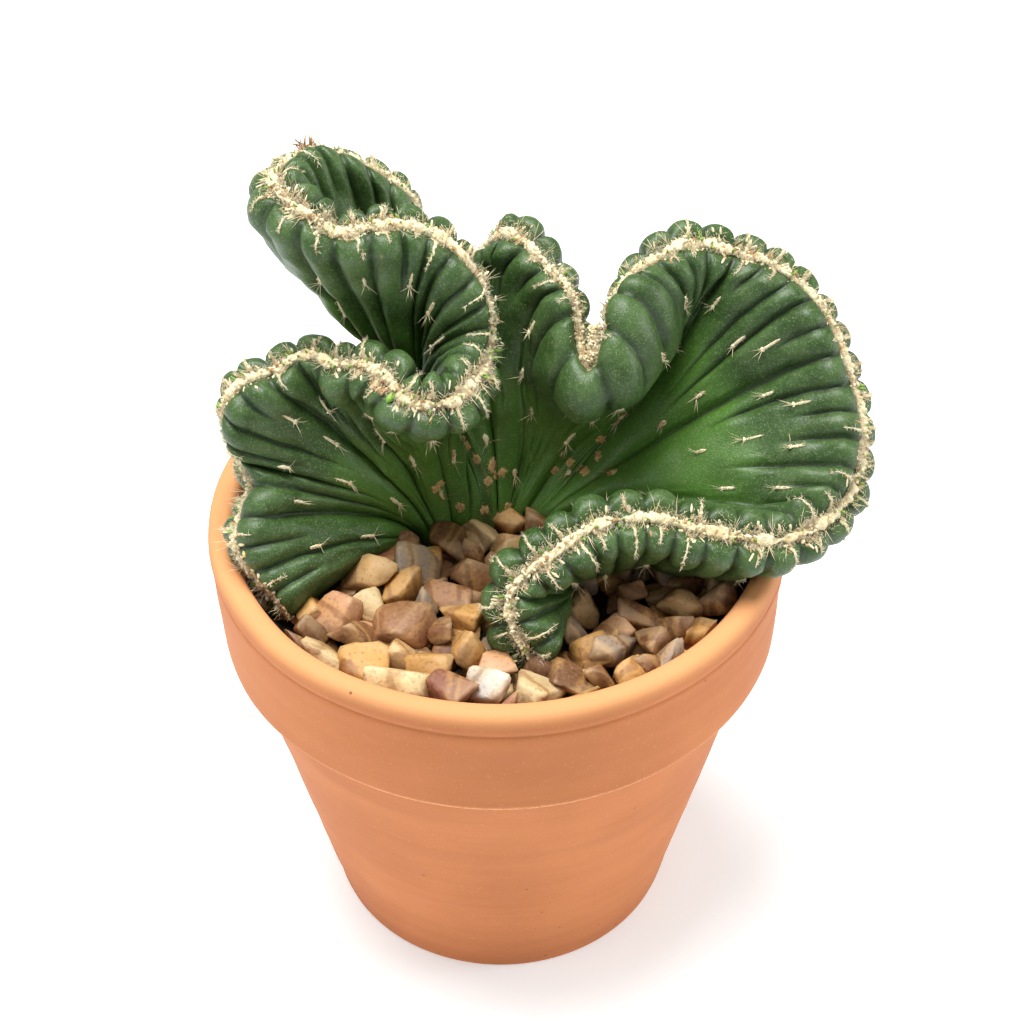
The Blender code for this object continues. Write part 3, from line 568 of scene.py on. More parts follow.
@dataclass(frozen=True)
class SkinFinish:
    """The plant's waxy skin: dark green with a grey bloom, fresh green in the folds, finely freckled, with
    painted shade darkening its grooves.
    """
    # painted shade: the darkest green, blended into the grooves as the shade that falls in them
    groove_shade: Tint = (0.007, 0.020, 0.005)
    leaf: Tint = (0.021, 0.058, 0.009)
    bloom: Tint = (0.062, 0.118, 0.034)
    fresh: Tint = (0.072, 0.180, 0.022)
    freckle: Tint = (0.320, 0.400, 0.160)
    cork: Tint = (0.300, 0.190, 0.080)

    def material(self) -> bpy.types.Material:
        """The skin's material, on the painted crease shade and the depth below the crest that the mesh keeps.

        Returns:
            The material.
        """
        shader = Shader("green_skin")
        crease_shade = shader.attribute("crease_shade")
        below = shader.attribute("below")
        patches = shader.noise(0.011, 3.0)
        wax = shader.noise(0.006, 3.0)
        fine = shader.noise(0.0009, 4.0)
        specks = shader.cells(0.00042)
        grains = shader.cells(0.00031)
        fold = below.step(9.0, 34.0) * (1.0 - below.step(62.0, 86.0) * 0.6)
        base = shader.mix((wax * 1.1 + fine * 0.30 - fold * 0.30).step(0.42, 1.00), self.leaf, self.bloom)
        base = shader.mix((patches * 0.9 + fold * 0.65).step(0.50, 1.15) * 0.85, base, self.fresh)
        # Painted shade: the grooves and the valleys between folds are darkened toward the groove shade colour
        base = shader.mix(crease_shade.step(0.10, 0.95) * 0.66, base, self.groove_shade)
        lit = (1.0 - specks.step(0.18, 0.42)) * fine.step(0.32, 0.60)
        # Fewer pale freckles in the creases, so the painted shade there stays dark
        freckles = (lit * 0.36 + (1.0 - grains.step(0.12, 0.45)) * 0.14) * (1.0 - crease_shade * 0.6)
        base = shader.mix(freckles, base, self.freckle)
        spots = (1.0 - shader.cells(0.0085).step(0.030, 0.060)) * wax.step(0.45, 0.6)
        base = shader.mix(spots * 0.75, base, self.cork)
        scar = shader.noise(0.0042, 4.0).step(0.62, 0.72) * below.step(48.0, 72.0)
        base = shader.mix(scar * 0.60, base, self.cork)
        shader.bump(fine * 0.55 + specks * 0.30 + grains * 0.25, 0.00016, 0.6)
        return shader.finish(Base_Color=base, Roughness=0.33 + fine * 0.22, Specular_IOR_Level=0.42,
                             Subsurface_Weight=0.10, Subsurface_Scale=1.0,
                             Subsurface_Radius=(0.0012, 0.0024, 0.0008))


@dataclass(frozen=True)
class WoolFinish:
    """Cream wool with golden-brown flecks and painted highlights on its fibres, and tan where it is old."""
    cream: Tint = (0.93, 0.80, 0.50)
    gold: Tint = (0.76, 0.52, 0.20)
    rust: Tint = (0.42, 0.200, 0.060)
    tan: Tint = (0.66, 0.40, 0.125)
    tan_light: Tint = (0.84, 0.60, 0.26)
    # painted highlight: near-white glints on the fibres
    light: Tint = (1.0, 0.96, 0.78)

    def material(self) -> bpy.types.Material:
        """The wool's material: its fleck attribute adds brown, and beyond 1.2 turns it tan.

        Returns:
            The material.
        """
        shader = Shader("cream_wool")
        fleck = shader.attribute("fleck")
        clumps = shader.noise(0.0034, 3.0)
        fibre = shader.noise(0.00035, 3.0)
        base = shader.mix((clumps + fleck * 0.6).step(0.46, 0.86), self.cream, self.gold)
        brown = (shader.noise(0.0019, 3.0) + fleck * 0.42).step(0.64, 0.78) * 0.9
        base = shader.mix(brown, base, self.rust)
        # Painted highlight: fibre noise blended toward near-white as glints on the wool, less where it is
        # brown
        base = shader.mix(fibre.step(0.4, 0.8) * 0.50 * (1.0 - fleck * 0.9), base, self.light)
        aged = shader.mix(fibre.step(0.35, 0.75), self.tan, self.tan_light)
        base = shader.mix(fleck.step(1.2, 1.4), base, aged)
        shader.bump(fibre, 0.0004, 0.8)
        return shader.finish(Base_Color=base, Roughness=0.85 + clumps * 0.15, Sheen_Weight=0.25,
                             Subsurface_Weight=0.15, Subsurface_Scale=1.0,
                             Subsurface_Radius=(0.001, 0.0008, 0.0005))


@dataclass(frozen=True)
class SpineFinish:
    """Horny spines: cream, turning brown where they have dried."""
    pale: Tint = (0.84, 0.72, 0.46)
    dry: Tint = (0.36, 0.19, 0.08)

    def material(self) -> bpy.types.Material:
        """The spines' material, with noise in its colour and roughness.

        Returns:
            The material.
        """
        shader = Shader("horny_spine")
        base = shader.mix(shader.attribute("fleck").step(0.45, 1.0), self.pale, self.dry)
        return shader.finish(Base_Color=base, Roughness=0.42 + shader.noise(0.001) * 0.2)


@dataclass(frozen=True)
class BudFinish:
    """The small fresh buds in the wool."""
    green: Tint = (0.16, 0.36, 0.03)
    young: Tint = (0.28, 0.46, 0.08)

    def material(self) -> bpy.types.Material:
        """The buds' material, with noise in its colour and roughness.

        Returns:
            The material.
        """
        shader = Shader("fresh_bud")
        base = shader.mix(shader.noise(0.0008).step(0.35, 0.7), self.green, self.young)
        return shader.finish(Base_Color=base, Roughness=0.5 + shader.noise(0.0004) * 0.1)


@dataclass(frozen=True)
class ClayFinish:
    """Unglazed fired clay: even orange, painted lighter on the lip as light falling on its top, with fine
    pits and faint turning marks.
    """
    clay: Tint = (0.575, 0.192, 0.056)
    warm: Tint = (0.490, 0.152, 0.041)
    # the paler clay, also used for the painted light on the lip
    pale: Tint = (0.840, 0.430, 0.180)
    pit: Tint = (0.16, 0.05, 0.02)

    def material(self, band_bottom: float) -> bpy.types.Material:
        """The clay's material.

        Args:
            band_bottom: The height of the band's lower edge, where the clay is rubbed pale.
        Returns:
            The material.
        """
        shader = Shader("fired_clay")
        split = shader.node("ShaderNodeSeparateXYZ", {}, {"Vector": shader.place})
        height = Value(shader, split.outputs["Z"])
        clouds = shader.noise(0.035, 4.0)
        turning = shader.noise(0.004, 3.0, shader.stretched((0.05, 0.05, 1.0)))
        grain = shader.noise(0.0007, 4.0)
        pits = 1.0 - shader.cells(0.0052).step(0.035, 0.075)
        base = shader.mix((clouds * 0.7 + turning * 0.3).step(0.36, 0.66), self.warm, self.clay)
        edge = height.step(band_bottom - 0.0006, band_bottom + 0.0002) * (
            1.0 - height.step(band_bottom + 0.0006, band_bottom + 0.0014))
        base = shader.mix(edge * grain.step(0.3, 0.6) * 0.75, base, self.pale)
        # Painted light: the top of the lip is blended toward the paler clay, as the light from above falls on
        # it
        lip = height.step(RIM_TOP - 0.0035, RIM_TOP)
        base = shader.mix(lip * 0.55, base, self.pale)
        base = shader.mix(grain.step(0.55, 0.8) * 0.20, base, self.pale)
        base = shader.mix(pits * shader.noise(0.012).step(0.5, 0.62) * 0.8, base, self.pit)
        shader.bump(grain * 0.7 + turning * 0.5 - pits, 0.00014, 0.6)
        return shader.finish(Base_Color=base, Roughness=0.66 + grain * 0.2)


@dataclass(frozen=True)
class StoneFinish:
    """Worn stone chips: each has its own tint, with a second tone, dark veins and chalky corners."""
    shade: Tint = (0.40, 0.26, 0.17)
    gold: Tint = (0.52, 0.275, 0.075)
    dust: Tint = (0.66, 0.48, 0.27)
    chalk: Tint = (0.70, 0.50, 0.27)

    def material(self) -> bpy.types.Material:
        """The stones' material, on the tint and grain kept with each stone.

        Returns:
            The material.
        """
        shader = Shader("worn_stone")
        tint = shader.attribute("tint", colour=True)
        place = shader.attribute("grain", colour=True)
        blotch = shader.noise(0.0060, 3.0, place)
        sockets = {"Vector": place, "Scale": 52.0, "Distortion": 5.0, "Detail": 3.0, "Detail Scale": 1.0}
        waves = shader.node("ShaderNodeTexWave", {"wave_type": "BANDS", "bands_direction": "X"}, sockets)
        band = Value(shader, waves.outputs["Fac"])
        fine = shader.noise(0.0008, 4.0, place)
        brown = shader.mix(1.0, tint, self.shade, "MULTIPLY")
        gold = shader.mix(0.60, tint, self.gold)
        base = shader.mix(band.step(0.25, 0.80) * 0.60, tint, gold)
        base = shader.mix(band.step(0.86, 1.00) * 0.60, base, brown)
        base = shader.mix(blotch.step(0.55, 0.64) * 0.65, base, brown)
        base = shader.mix(fine.step(0.52, 0.78) * 0.20, base, self.dust)
        base = shader.mix((1.0 - fine.step(0.26, 0.48)) * 0.60, base, brown)
        base = shader.mix(shader.attribute("edge").step(0.97, 1.12) * 0.24, base, self.chalk)
        shader.bump(fine * 0.6 + blotch * 0.9 + band * 0.15, 0.0004, 0.6)
        return shader.finish(Base_Color=base, Roughness=0.40 + fine * 0.35)


@dataclass(frozen=True)
class SoilFinish:
    """Dark crumbly potting soil."""
    dark: Tint = (0.010, 0.007, 0.005)
    dry: Tint = (0.060, 0.038, 0.024)

    def material(self) -> bpy.types.Material:
        """The soil's material, with noise in its colour and roughness.

        Returns:
            The material.
        """
        shader = Shader("dark_soil")
        crumbs = shader.noise(0.0016, 5.0)
        base = shader.mix(crumbs.step(0.3, 0.75), self.dark, self.dry)
        shader.bump(crumbs, 0.0012, 1.0)
        return shader.finish(Base_Color=base, Roughness=0.85 + crumbs * 0.1)


@dataclass
class Fan:
    """The plant's sheet: its middle surface, its thickness, and its ribbed front and back."""
    ribs: int = 80
    coarse_per_rib: int = 3
    fine_per_rib: int = 10
    crest_half: float = 7.4 * MM
    foot_half: float = 8.5 * MM
    foot_rise: float = 18.0 * MM
    room_share: float = 0.8
    near_depth: float = 8.0 * MM
    end_round: float = 5.0 * MM
    groove: float = 2.1 * MM
    groove_limit: float = 0.43
    fold_depth: float = 3.3 * MM
    fold_limit: float = 0.26
    short_reach: Span = (10.0, 22.0)
    long_reach: Span = (26.0, 46.0)
    longest_reach: Span = (48.0, 85.0)
    far_rows: int = 36

    def __post_init__(self) -> None:
        """Works out the sheet on its coarse grid and then on its fine one."""
        self.columns = self.ribs * self.coarse_per_rib + 1
        self._sheet()
        self._thickness()
        self._fine()
        self._grooves()

    def _controls(self) -> np.ndarray:
        """Five Bezier points for each rib's route: foot, waist, neck, lead and the crest's edge.

        Returns:
            Five rows of points, one for each column of the coarse grid.
        """
        crest = to_world(CREST)
        chord = steps_along(crest)
        key = np.linspace(0.0, chord[-1], 6000)
        dense = spline(chord, crest, key)
        length = steps_along(dense)
        self.stations = np.linspace(0.0, length[-1], self.columns)
        self.length = length[-1]
        line = np.stack([np.interp(self.stations, length, dense[:, k]) for k in range(3)], 1)
        keys = np.interp(chord[[s[0] for s in SPOKES]], key, length)
        waist = spline(keys, to_world([s[1] for s in SPOKES]), self.stations)
        neck = spline(keys, to_world([s[2] for s in SPOKES]), self.stations)
        lead = spline(keys, np.array([s[3] for s in SPOKES], float) * MM, self.stations)
        foot_line = np.array(FOOT_LINE, float) * MM
        run = steps_along(foot_line)
        foot = np.full((self.columns, 3), RIM_TOP - SOIL_DEPTH)
        self.share = self.stations / self.length
        foot[:, :2] = spline(run, foot_line, self.share * run[-1])
        return np.stack([foot, waist, neck, line - lead, line - unit(lead) * 0.3 * MM])

    @staticmethod
    def _bezier(controls: np.ndarray, t: np.ndarray) -> tuple[np.ndarray, np.ndarray]:
        """Each rib's quartic Bezier curve: the control points, weighed by the Bernstein polynomials.

        Args:
            controls: The five rows of control points.
            t: Where the curves are read, 0 at the foot and 1 at the crest.
        Returns:
            The points, and the curves' directions there.
        """
        t = t[..., None]
        last = len(controls) - 1
        points = sum(math.comb(last, k) * (1 - t) ** (last - k) * t**k * controls[k][:, None]
                     for k in range(last + 1))
        legs = np.diff(controls, axis=0)
        slope = sum(math.comb(last - 1, k) * (1 - t) ** (last - 1 - k) * t**k * legs[k][:, None]
                    for k in range(last))
        return points, unit(slope)

    def _smooth(self, values: np.ndarray) -> np.ndarray:
        """Evens the coarse grid out along its columns: a value becomes a bell-weighted mean of a span.

        The span is longer in each lower row, where the columns crowd.

        Args:
            values: One value or vector at each point of the coarse grid.
        Returns:
            The evened values.
        """
        spans = np.interp(COARSE_ROWS, EVEN_ROWS, EVEN_SPANS)
        smooth = values.copy()
        for r, span in enumerate(spans.astype(int)):
            if span:
                weight = np.hanning(2 * span + 3)[1:-1]
                padded = np.pad(values[:, r], ((span, span), (0, 0)), mode="reflect", reflect_type="odd")
                rows = np.stack([padded[k:k + len(values)] for k in range(len(weight))])
                smooth[:, r] = np.tensordot(weight, rows, 1) / weight.sum()
        return smooth

    def _sheet(self) -> None:
        """The middle surface on the coarse grid: each rib read at set depths under the crest."""
        controls = self._controls()
        t = np.tile(np.linspace(1.0, 0.0, 41), (self.columns, 1))
        self.cloud, _ = self._bezier(controls, t)
        steps = np.linalg.norm(np.diff(self.cloud, axis=1), axis=-1)
        runs = np.concatenate([np.zeros((self.columns, 1)), np.cumsum(steps, axis=1)], 1)
        total = runs[:, -1:]
        near = np.minimum(self.near_depth, 0.5 * total)
        v = COARSE_ROWS[None]
        self.below = np.where(v <= 1, v * near, near + (v - 1) * (total - near))
        at = np.stack([np.interp(b, r, row) for b, r, row in zip(self.below, runs, t)])
        sheet, self.up = self._bezier(controls, at)
        self.mid = self._smooth(sheet)
        self.normal = unit(self._smooth(unit(np.cross(np.gradient(self.mid, axis=0), self.up))))

    def _room(self, sign: int) -> np.ndarray:
        """The largest ball that touches the sheet at each point and crosses it nowhere.

        A ball through a point of the sheet at distance d, h above the tangent plane, has a radius of
        d^2 / 2h. Points that are very near give none.

        Args:
            sign: 1 for the front and -1 for the back.
        Returns:
            The part of the ball's radius that the thickness may use.
        """
        points = self.cloud.reshape(-1, 3)
        seats, ways = self.mid.reshape(-1, 3), sign * self.normal.reshape(-1, 3)
        radius = np.empty(len(seats))
        batch, nearest = 256, (2.5 * MM) ** 2
        for start in range(0, len(seats), batch):
            part = slice(start, start + batch)
            gap = points[None] - seats[part, None]
            distance = (gap**2).sum(-1)
            height = np.maximum((gap * ways[part, None]).sum(-1), 1e-6)
            radius[part] = np.where(distance > nearest, distance / (2 * height), 1.0).min(1)
        return self.room_share * radius.reshape(self.mid.shape[:2])

    def _thickness(self) -> None:
        """How far the front and the back stand from the middle, kept inside the folds' free room."""
        foot_end = (1 - np.abs(2 * self.share - 1) ** 3 * 0.98) ** (1 / 3)
        rise = ease(np.clip((self.below[:, -1:] - self.below) / self.foot_rise, 0, 1))
        half = (1 - rise) * (self.foot_half * foot_end)[:, None] + rise * self.crest_half
        self.thick = []
        for sign in (1, -1):
            room = self._room(sign)
            thick = self._smooth(((half**-4 + room**-4) ** -0.25)[..., None])[..., 0]
            self.thick.append(np.minimum(thick, room))

    def _fine(self) -> None:
        """The fine grid: every coarse field read by smooth curves along both its directions."""
        self.fine_columns = self.ribs * self.fine_per_rib + 1
        u = np.linspace(0, self.columns - 1, self.fine_columns)
        self.swell = np.concatenate([EDGE_SWELL, np.ones(self.far_rows)])
        far = 1 + np.linspace(0, 1, self.far_rows + 1)[1:] ** 1.12
        v = np.concatenate([EDGE_DROP / self.near_depth, far])
        keys = np.arange(self.columns)

        def read(values: np.ndarray) -> np.ndarray:
            """One coarse field on the fine grid."""
            along = spline(keys, values, u)
            return np.moveaxis(spline(COARSE_ROWS, np.moveaxis(along, 1, 0), v), 0, 1)

        self.fine_mid = read(self.mid)
        self.fine_normal = unit(read(self.normal))
        self.fine_up = unit(read(self.up))
        self.fine_below = read(self.below)
        self.fine_thick = [read(t) for t in self.thick]
        stations = np.interp(u, keys, self.stations)
        from_end = np.minimum(stations, self.length - stations)
        self.end = np.sqrt(1 - (1 - np.clip((from_end + 0.2 * MM) / self.end_round, 0, 1)) ** 2)

    def _grooves(self) -> None:
        """The grooves between the ribs, and the folds that the ribs gather into further down.

        A column's rib section is 1 on the rib and 0 in the groove. Each groove has its own reach: many
        end soon under the crest, others run on, and a few reach the trunk. Between two of those few the
        face swells as one wide fold.
        """
        rng = np.random.default_rng(17)
        count = self.ribs + 1
        reach = rng.uniform(*self.short_reach, count)
        longer = np.cumsum(rng.integers(1, 4, count))
        longer = longer[longer < count]
        reach[longer] = rng.uniform(*self.long_reach, len(longer))
        longest = np.cumsum(rng.integers(3, 7, count))
        longest = longest[longest < self.ribs - 1]
        reach[longest] = rng.uniform(*self.longest_reach, len(longest))
        position = np.arange(self.fine_columns) / self.fine_per_rib
        nearest = np.round(position).astype(int)
        across = 2 * np.abs(position - nearest)[:, None]
        self.ridge = (1 - (1 - across) ** 2.1) ** 0.62
        span = reach[nearest][:, None] * MM
        fade = ease(np.clip((span - self.fine_below) / (0.6 * span), 0, 1))
        pitch = np.linalg.norm(np.gradient(self.fine_mid, axis=0), axis=-1) * self.fine_per_rib
        strength = rng.uniform(0.75, 1.2, count)[nearest][:, None]
        self.depth = np.minimum(self.groove * strength * fade, self.groove_limit * pitch)
        bounds = np.concatenate([[0.0], longest, [float(self.ribs)]])
        group = np.clip(np.searchsorted(bounds, position, side="right") - 1, 0, len(bounds) - 2)
        inside = (position - bounds[group]) / (bounds[group + 1] - bounds[group])
        wide = np.clip(1 - np.abs(2 * inside - 1) ** 2.3, 0, 1)[:, None] ** 0.7
        come = np.clip((self.fine_below - 3 * MM) / (14 * MM), 0, 1)
        leave = np.clip((70 * MM - self.fine_below) / (30 * MM), 0, 1)
        width = pitch * (bounds[group + 1] - bounds[group])[:, None]
        self.fold = np.minimum(self.fold_depth * come * leave, self.fold_limit * width) * (1 - wide)
        # The crease shade: where the skin is painted darker as the shade in narrow grooves and in the valleys
        # between the wide folds
        narrow = np.clip((1 - self.ridge) ** 2.4 * self.depth / (0.7 * MM), 0, 1)
        self.crease_shade = np.clip(narrow + (1 - wide) ** 6 * come * leave * 0.7, 0, 1)

    def faces(self) -> list[np.ndarray]:
        """The front and back as grids of points.

        A point is the sheet's middle, moved along its normal by the thickness, less the depth of the
        groove and the fold there. A rib is a little lumpy along its length, and the crest's edge dips in
        each groove.

        Returns:
            The two grids.
        """
        rib = np.floor(np.arange(self.fine_columns) / self.fine_per_rib)
        sides = []
        for number, (sign, thick) in enumerate(zip((1, -1), self.fine_thick)):
            half = thick * self.end[:, None]
            cut = np.minimum(self.depth * (1 - self.ridge) * np.clip(self.swell * 1.5, 0, 1)
                             + self.fold * (1.0, 0.8)[number], 0.45 * half)
            phase = self.fine_below / (4.8 * MM) * math.pi + rib[:, None] * 2.4 + number
            lump = 0.20 * MM * np.sin(phase) * self.ridge
            lump = lump * np.clip(self.fine_below / (5 * MM), 0, 1) * np.clip(self.depth / MM, 0, 1)
            offset = half * self.swell - cut + lump * self.end[:, None]
            points = self.fine_mid + sign * self.fine_normal * offset[..., None]
            sink = 0.95 * MM * (1 - self.ridge) * np.clip((self.swell - 0.2) * 4, 0, 1)
            sink = sink * np.clip(1 - self.fine_below / (6 * MM), 0, 1)
            points = points - self.fine_up * sink[..., None]
            uneven = 0.32 * MM * ripple(points, 0.012, 3 + number) * np.clip(self.swell, 0, 1)
            sides.append(self.settle(points + self.fine_normal * (sign * uneven)[..., None]))
        return sides

    @staticmethod
    def settle(points: np.ndarray) -> np.ndarray:
        """Keeps points clear of the pot: on the left inside its wall, on the right above its rim.

        Args:
            points: Places round the pot's axis.
        Returns:
            The places, moved where they have to be.
        """
        points = points.copy()
        out = np.hypot(points[..., 0], points[..., 1])
        radius = MOUTH_RADIUS - 0.6 * MM
        low = (points[..., 0] < 0) & (points[..., 2] < RIM_TOP + 0.8 * MM)
        squeeze = np.where(low & (out > radius), radius / np.maximum(out, 1e-9), 1.0)
        points[..., :2] *= squeeze[..., None]
        soil = RIM_TOP - SOIL_DEPTH
        lift = np.interp(out, (47.0 * MM, 52.5 * MM), (soil, RIM_TOP + 1.0 * MM))
        points[..., 2] = np.maximum(points[..., 2], np.where(points[..., 0] > 0, lift, soil))
        return points


@dataclass(frozen=True)
class Clumps:
    """A sort of clump of wool: the ranges of its half sizes in millimetres, and its brown.

    Brown is the share of clumps that are brown, and tone is how brown those are. Twist is how far a clump's
    long way turns from the way up the skin, in radians.
    """
    length: Span
    width: Span
    height: Span
    brown: float
    twist: float = 1.6
    tone: Span = (0.5, 1.0)


# A cone's rings, each with its share of the length and of the radius
SLIM = ((0.0, 1.0),)
ROUND = ((0.0, 1.0), (0.55, 0.72))


@dataclass
class Tufts:
    """Wool and needles, all built as whole arrays: lumpy cushions, and slim three-sided cones."""
    rng: np.random.Generator

    def cones(self, roots: np.ndarray, ways: np.ndarray, lengths: np.ndarray, radii: np.ndarray,
              fleck: np.ndarray, bend: float = 0.25, joints: tuple[Span, ...] = ROUND) -> Surface:
        """Cones from their roots along their ways: rings of three points, and a tip.

        Args:
            roots: Where they start.
            ways: Their directions, of length one.
            lengths: Their lengths.
            radii: Their radii at the root.
            fleck: A value for each, kept on its points.
            bend: How far the tip strays, in parts of the length.
            joints: Each ring's share of the length and of the radius.
        Returns:
            The cones as one surface of triangles.
        """
        count = len(roots)
        side = unit(np.cross(ways, self.rng.normal(size=(count, 3))))
        other = np.cross(ways, side)
        stray = side * (self.rng.uniform(-bend, bend, count) * lengths)[:, None]
        rings = []
        for along, share in joints:
            centre = roots + ways * (lengths * along)[:, None] + stray * along**2
            for turn in (0.0, 2 * math.pi / 3, 4 * math.pi / 3):
                way = side * math.cos(turn) + other * math.sin(turn)
                rings.append(centre + way * (radii * share)[:, None])
        tip = roots + ways * lengths[:, None] + stray
        points = np.stack([*rings, tip], 1)
        one = [(0, 2, 1)]
        for low in range(0, 3 * len(joints) - 3, 3):
            for k, after in ((0, 1), (1, 2), (2, 0)):
                one += [(low + k, low + after, low + 3 + after), (low + k, low + 3 + after, low + 3 + k)]
        low, size = 3 * len(joints) - 3, points.shape[1]
        one += [(low, low + 1, low + 3), (low + 1, low + 2, low + 3), (low + 2, low, low + 3)]
        faces = (np.array(one)[None] + size * np.arange(count)[:, None, None]).reshape(-1, 3)
        return Surface(points.reshape(-1, 3), faces, {"fleck": np.repeat(fleck, size)[:, None]})

    def pads(self, centres: np.ndarray, along: np.ndarray, out: np.ndarray, sizes: np.ndarray,
             fleck: np.ndarray) -> Surface:
        """Small lumpy cushions of wool: balls, stretched along, across and out, with their skin rippled.

        Args:
            centres: Where they sit.
            along: Their long way.
            out: Their way out of the skin.
            sizes: Half lengths along, across and out.
            fleck: A value for each, kept on its points.
        Returns:
            The cushions as one surface of triangles and closed poles.
        """
        turns, rows = 7, 4
        a = np.arange(turns) * 2 * math.pi / turns
        b = np.linspace(0, math.pi, rows + 1)[1:-1]
        ball = np.stack([np.outer(np.cos(b), np.ones(turns)), np.outer(np.sin(b), np.cos(a)),
                         np.outer(np.sin(b), np.sin(a))], -1).reshape(-1, 3)
        ball = np.vstack([[1.0, 0, 0], ball, [-1.0, 0, 0]])
        across = np.cross(along, out)
        frame = np.stack([along, across, out], 1)
        lumps = 1 + self.rng.uniform(-0.16, 0.20, (len(centres), len(ball)))
        local = ball[None] * lumps[..., None] * sizes[:, None]
        points = centres[:, None] + np.einsum("nki,nij->nkj", local, frame)
        ring = 1 + np.arange((rows - 1) * turns).reshape(rows - 1, turns)
        after = np.roll(ring, -1, axis=1)
        faces = [np.stack([np.zeros(turns, int), ring[0], after[0]], 1)]
        for r in range(rows - 2):
            faces.append(np.stack([ring[r], ring[r + 1], after[r]], 1))
            faces.append(np.stack([after[r], ring[r + 1], after[r + 1]], 1))
        last = np.full(turns, 1 + (rows - 1) * turns)
        faces.append(np.stack([ring[-1], last, after[-1]], 1))
        one = np.concatenate(faces)
        every = (one[None] + len(ball) * np.arange(len(centres))[:, None, None]).reshape(-1, 3)
        return Surface(points.reshape(-1, 3), every, {"fleck": np.repeat(fleck, len(ball))[:, None]})


